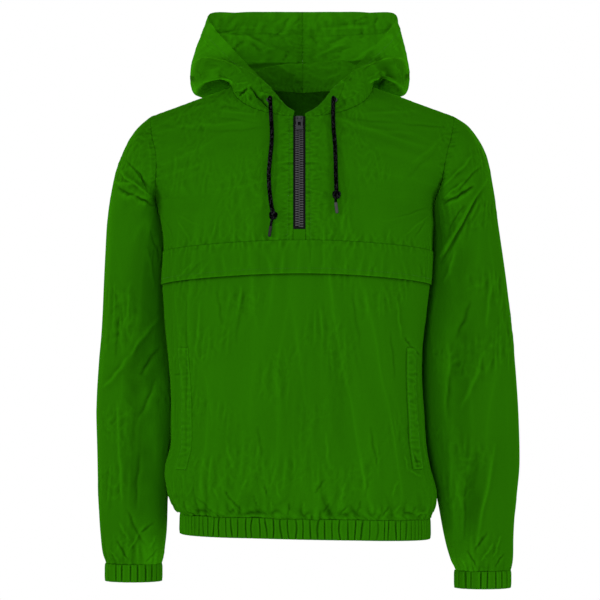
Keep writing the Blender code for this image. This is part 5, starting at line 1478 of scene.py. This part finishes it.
def tooth_points(centre, normal, row):
    """Layers of four corners, from the tape up; the inner end is the narrow head."""
    wide, tall, thick = TOOTH
    across, up = Vector((row, 0, 0)), normal.cross(Vector((1, 0, 0)))
    points = []
    for share, rise in TOOTH_LAYERS:
        for x, y in [(-0.5, -0.5), (0.5, -0.5), (0.5, 0.5), (-0.5, 0.5)]:
            head = TOOTH_HEAD if x < 0 else 1.0
            points.append(centre + across * (wide / 2 - TOOTH_PAST_CENTRE + x * wide * share)
                          + up * y * tall * share * head + normal * thick * rise)
    return points


def make_teeth(metal):
    """Two rows of moulded teeth, each between two of the other row's."""
    base, out = zip_centre_line()
    down = length_down(base)
    points, faces = [], []
    for row in (-1, 1):
        for number in range(int((down[-1] - TOOTH_PITCH) / TOOTH_PITCH)):
            at = np.array([(number + ROW_START[row]) * TOOTH_PITCH])
            centre, normal = Vector(at_places(at, down, base)[0]), Vector(at_places(at, down, out)[0])
            start = len(points)
            points += tooth_points(centre, normal, row)
            top = len(points) - 4
            for low in range(start, top, 4):
                corners = [(low + i, low + (i + 1) % 4) for i in range(4)]
                faces += [(a, b, b + 4, a + 4)[::row] for a, b in corners]
            faces.append((top, top + 1, top + 2, top + 3)[::row])
            faces.append((start + 3, start + 2, start + 1, start)[::row])
    made = object_of("zip_teeth", points, faces, metal)
    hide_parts("zip_chain")
    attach(made, "garment")


# ---------------------------------------------------------------- drawcords
def route_of(side):
    points = np.array(CORD_ROUTE[side])
    return length_down(points), points


def on_route(side, at):
    """Points of a drawcord's route at distances down it."""
    downs, points = route_of(side)
    return np.tensordot(weights(downs, np.asarray(at, float)), points, (0, 0))


END_THIN = 0.0025        # square of a tube end's last radius, as a share
TUBE_ASIDE = (1.0, 0.2, 0.1)             # a direction no tube starts in
CORD_POINTS, KNOT_POINTS, TIP_POINTS = 120, 90, 40
CORD_SMOOTH = 5          # steps of the cord's bevel
KNOT_THICK = 0.0025
KNOT_LOOP = 0.55         # share of the inner loop
KNOT_WIDE, KNOT_DEEP, KNOT_TALL = 1.25, 1.35, 0.85
KNOT_TWIST = 0.6         # of its wave along the cord, in radians
LOOK_AROUND = 0.002      # up and down the cord, to find its direction
KNOT_SIDES, TIP_SIDES = 14, 24


def tube(name, line, radius, finish, sides):
    """A round tube along a line of points, with rounded ends and grain in metres."""
    tangent = unit(np.gradient(line, axis=0))
    normal = [np.cross(tangent[0], TUBE_ASIDE)]
    for direction in tangent[1:]:
        last = normal[-1]
        normal.append(last - direction * np.dot(last, direction))
    normal = unit(np.array(normal))
    other = np.cross(tangent, normal)
    down = length_down(line)
    from_end = np.minimum(down, down[-1] - down)
    round_off = np.sqrt(np.clip(1 - (1 - from_end / radius) ** 2, END_THIN, 1.0))
    size = radius * np.where(from_end < radius, round_off, 1.0)
    angle = np.arange(sides) * 2 * np.pi / sides
    grid = (line[:, None] + size[:, None, None]
            * (np.cos(angle)[:, None] * normal[:, None] + np.sin(angle)[:, None] * other[:, None]))
    rows = len(line)
    index = np.arange(rows * sides).reshape(rows, sides)
    index = np.concatenate([index, index[:, :1]], axis=1)
    place = np.stack(np.meshgrid(np.arange(sides + 1) * 2 * np.pi * radius / sides, down), axis=-1)
    faces, uv = quads(index, place)
    return mesh_of(name, grid, faces, finish, uv)


def make_cord_line(side, braid):
    """The drawcord as one open curve from its eyelet to inside its hard tip."""
    downs, _ = route_of(side)
    curve = bpy.data.curves.new(f"drawcord_line_{side}", "CURVE")
    curve.dimensions = "3D"
    curve.bevel_depth = CORD / 2
    curve.bevel_resolution = CORD_SMOOTH
    curve.use_fill_caps = True
    line = curve.splines.new("POLY")
    at = np.linspace(0.0, downs[-1] - TIP_LENGTH + CORD_INTO_TIP, CORD_POINTS)
    points = on_route(side, at)
    thinner = mix(1.0, TAIL_SHARE, smooth_step((at - KNOT_DOWN[side]) / TAIL_FADE))
    line.points.add(len(points) - 1)
    for place, radius, point in zip(points, thinner, line.points):
        point.co = (*place, 1.0)
        point.radius = radius
    curve.materials.append(braid)
    return placed(curve.name, curve)


def make_knot(side, braid):
    """An overhand knot drawn tight: one loop of thinner, squeezed cord round the drawcord."""
    down = KNOT_DOWN[side]
    axis = unit(on_route(side, down + LOOK_AROUND) - on_route(side, down - LOOK_AROUND))
    across = unit(np.cross(axis, (0.0, 1.0, 0.0)))
    front = np.cross(across, axis)
    t = np.linspace(0.0, 2 * np.pi, KNOT_POINTS)
    reach = KNOT[0] / 2 - KNOT_THICK * 0.5
    x = reach * (np.sin(t) + KNOT_LOOP * np.sin(2 * t)) / KNOT_WIDE
    y = reach * (np.cos(t) - KNOT_LOOP * np.cos(2 * t)) / KNOT_DEEP
    z = (KNOT[2] / 2 - KNOT_THICK) * np.sin(3 * t + KNOT_TWIST) * KNOT_TALL
    line = on_route(side, down) + x[:, None] * across + y[:, None] * front + z[:, None] * axis
    made = tube(f"overhand_knot_{side}", line, KNOT_THICK, braid, KNOT_SIDES)
    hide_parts(f"knot_{side}")
    return made


def make_tip(side, tip_finish):
    downs, _ = route_of(side)
    line = on_route(side, np.linspace(downs[-1] - TIP_LENGTH, downs[-1], TIP_POINTS))
    made = tube(f"hard_tip_{side}", line, TIP / 2, tip_finish, TIP_SIDES)
    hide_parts(f"cord_tip_{side}")
    return made


def make_drawcord(side, braid):
    line = make_cord_line(side, braid)
    tip_finish = make_metal(f"hard_tip_plastic_{side}", TIP_GREY[side], 0.6, 0.0, specular=0.15)
    knot, tip = make_knot(side, braid), make_tip(side, tip_finish)
    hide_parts(f"drawcord_{side}", f"cord_tail_{side}")
    for made in (line, knot, tip):
        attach(made, "garment")


# ---------------------------------------------------------------- camera, light and floor
VIEW_DISTANCE = 5.0
VIEW_WIDTH = 0.924       # metres across the picture at the garment
VIEW_CENTRE = (-0.0038, -0.328)          # X and Z
SENSOR = 36.0
AMBIENT = 0.62           # white light from all round
AreaLight = namedtuple("AreaLight", "name place size power")
LIGHTS = [AreaLight(*row) for row in [
    ("front", (-0.8, -5.0, 0.2), 1.2, 88.0),
    ("left", (-4.2, -2.6, 0.6), 1.4, 112.0),
    ("right", (4.2, -2.6, -0.2), 1.4, 98.0),
    ("rear", (1.8, 4.0, 1.0), 1.4, 110.0),
    ("rear_fill", (-2.8, 3.2, 0.4), 2.0, 60.0),
]]
LIGHT_AIM = (0.0, 0.0, -0.33)
FLOOR_Z, FLOOR_RADIUS, FLOOR_SIDES = -0.95, 1.6, 96


def make_camera():
    data = bpy.data.cameras.new("photo_view")
    data.sensor_width = SENSOR
    data.lens = SENSOR * VIEW_DISTANCE / VIEW_WIDTH
    data.dof.use_dof = False
    made = placed("photo_view", data)
    made.location = (VIEW_CENTRE[0], -VIEW_DISTANCE, VIEW_CENTRE[1])
    made.rotation_euler = (math.pi / 2, 0.0, 0.0)
    bpy.context.scene.camera = made


def make_world():
    """White all round, brighter where it is the background than where it lights the cloth."""
    world = bpy.data.worlds.new("studio")
    world.use_nodes = True
    tree = world.node_tree
    background = tree.nodes["Background"]
    background.inputs["Color"].default_value = (1.0, 1.0, 1.0, 1.0)
    path = tree.nodes.new("ShaderNodeLightPath")
    level = tree.nodes.new("ShaderNodeMapRange")
    level.inputs["To Min"].default_value = AMBIENT
    level.inputs["To Max"].default_value = 1.0
    tree.links.new(path.outputs["Is Camera Ray"], level.inputs["Value"])
    tree.links.new(level.outputs[0], background.inputs["Strength"])
    bpy.context.scene.world = world
    bpy.context.scene.view_settings.view_transform = "Standard"


def make_lights():
    aim = Vector(LIGHT_AIM)
    for light in LIGHTS:
        data = bpy.data.lights.new(light.name, "AREA")
        data.shape = "DISK"
        data.size = light.size
        data.energy = light.power
        made = placed(light.name, data)
        made.location = light.place
        made.rotation_euler = (aim - made.location).to_track_quat("-Z", "Y").to_euler()


def make_floor_disc():
    around = [(FLOOR_RADIUS * math.cos(a), FLOOR_RADIUS * math.sin(a), FLOOR_Z)
              for a in np.linspace(0, 2 * np.pi, FLOOR_SIDES + 1)[:-1]]
    object_of("floor", around, [tuple(range(FLOOR_SIDES))], make_floor())


# ---------------------------------------------------------------- build
YOKE_STITCH_U, WELT_STITCH_U, BRIM_STITCH_V = 0.024, (0.15, 0.85), 0.91


def dress_cad(node, finish):
    """A CAD solid that shows as it is, in its own material."""
    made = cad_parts[node]
    made.data.materials.clear()
    made.data.materials.append(finish)


def build():
    make_camera()
    braid = make_braid()
    metal = make_metal("dark_metal_painted", METAL, 0.38, 0.6)
    for side in SIDES:
        make_drawcord(side, braid)
    nylon, thread, tape = make_nylon(), make_thread(), make_tape()
    make_lower_front(nylon)
    pocket_flap = make_flap(nylon)
    make_back(nylon)
    make_waistband(nylon)
    top_stitch = [pocket_flap.line(v=FLAP_STITCH_UP / FLAP_HEIGHT)]
    for side in SIDES:
        yoke, strip, brim = make_yoke(side, nylon), make_welt(side, nylon), make_hood(side, nylon)
        make_sleeve(side, nylon)
        make_cuff(side, nylon)
        top_stitch.append(yoke.line(u=YOKE_STITCH_U))
        top_stitch += [strip.line(u=share) for share in WELT_STITCH_U]
        top_stitch.append(brim.line(v=BRIM_STITCH_V))
    make_stitches("top_stitching", top_stitch, thread)
    make_teeth(make_metal("dark_tooth_metal", TOOTH_GREY, 0.6, 0.2))
    dress_cad("zip_tape", tape)
    dress_cad("zip_stop_patch", nylon)
    for node in ("zip_slider", "zip_pull", "eyelet_left", "eyelet_right"):
        dress_cad(node, metal)
    make_world()
    make_lights()
    make_floor_disc()


build()
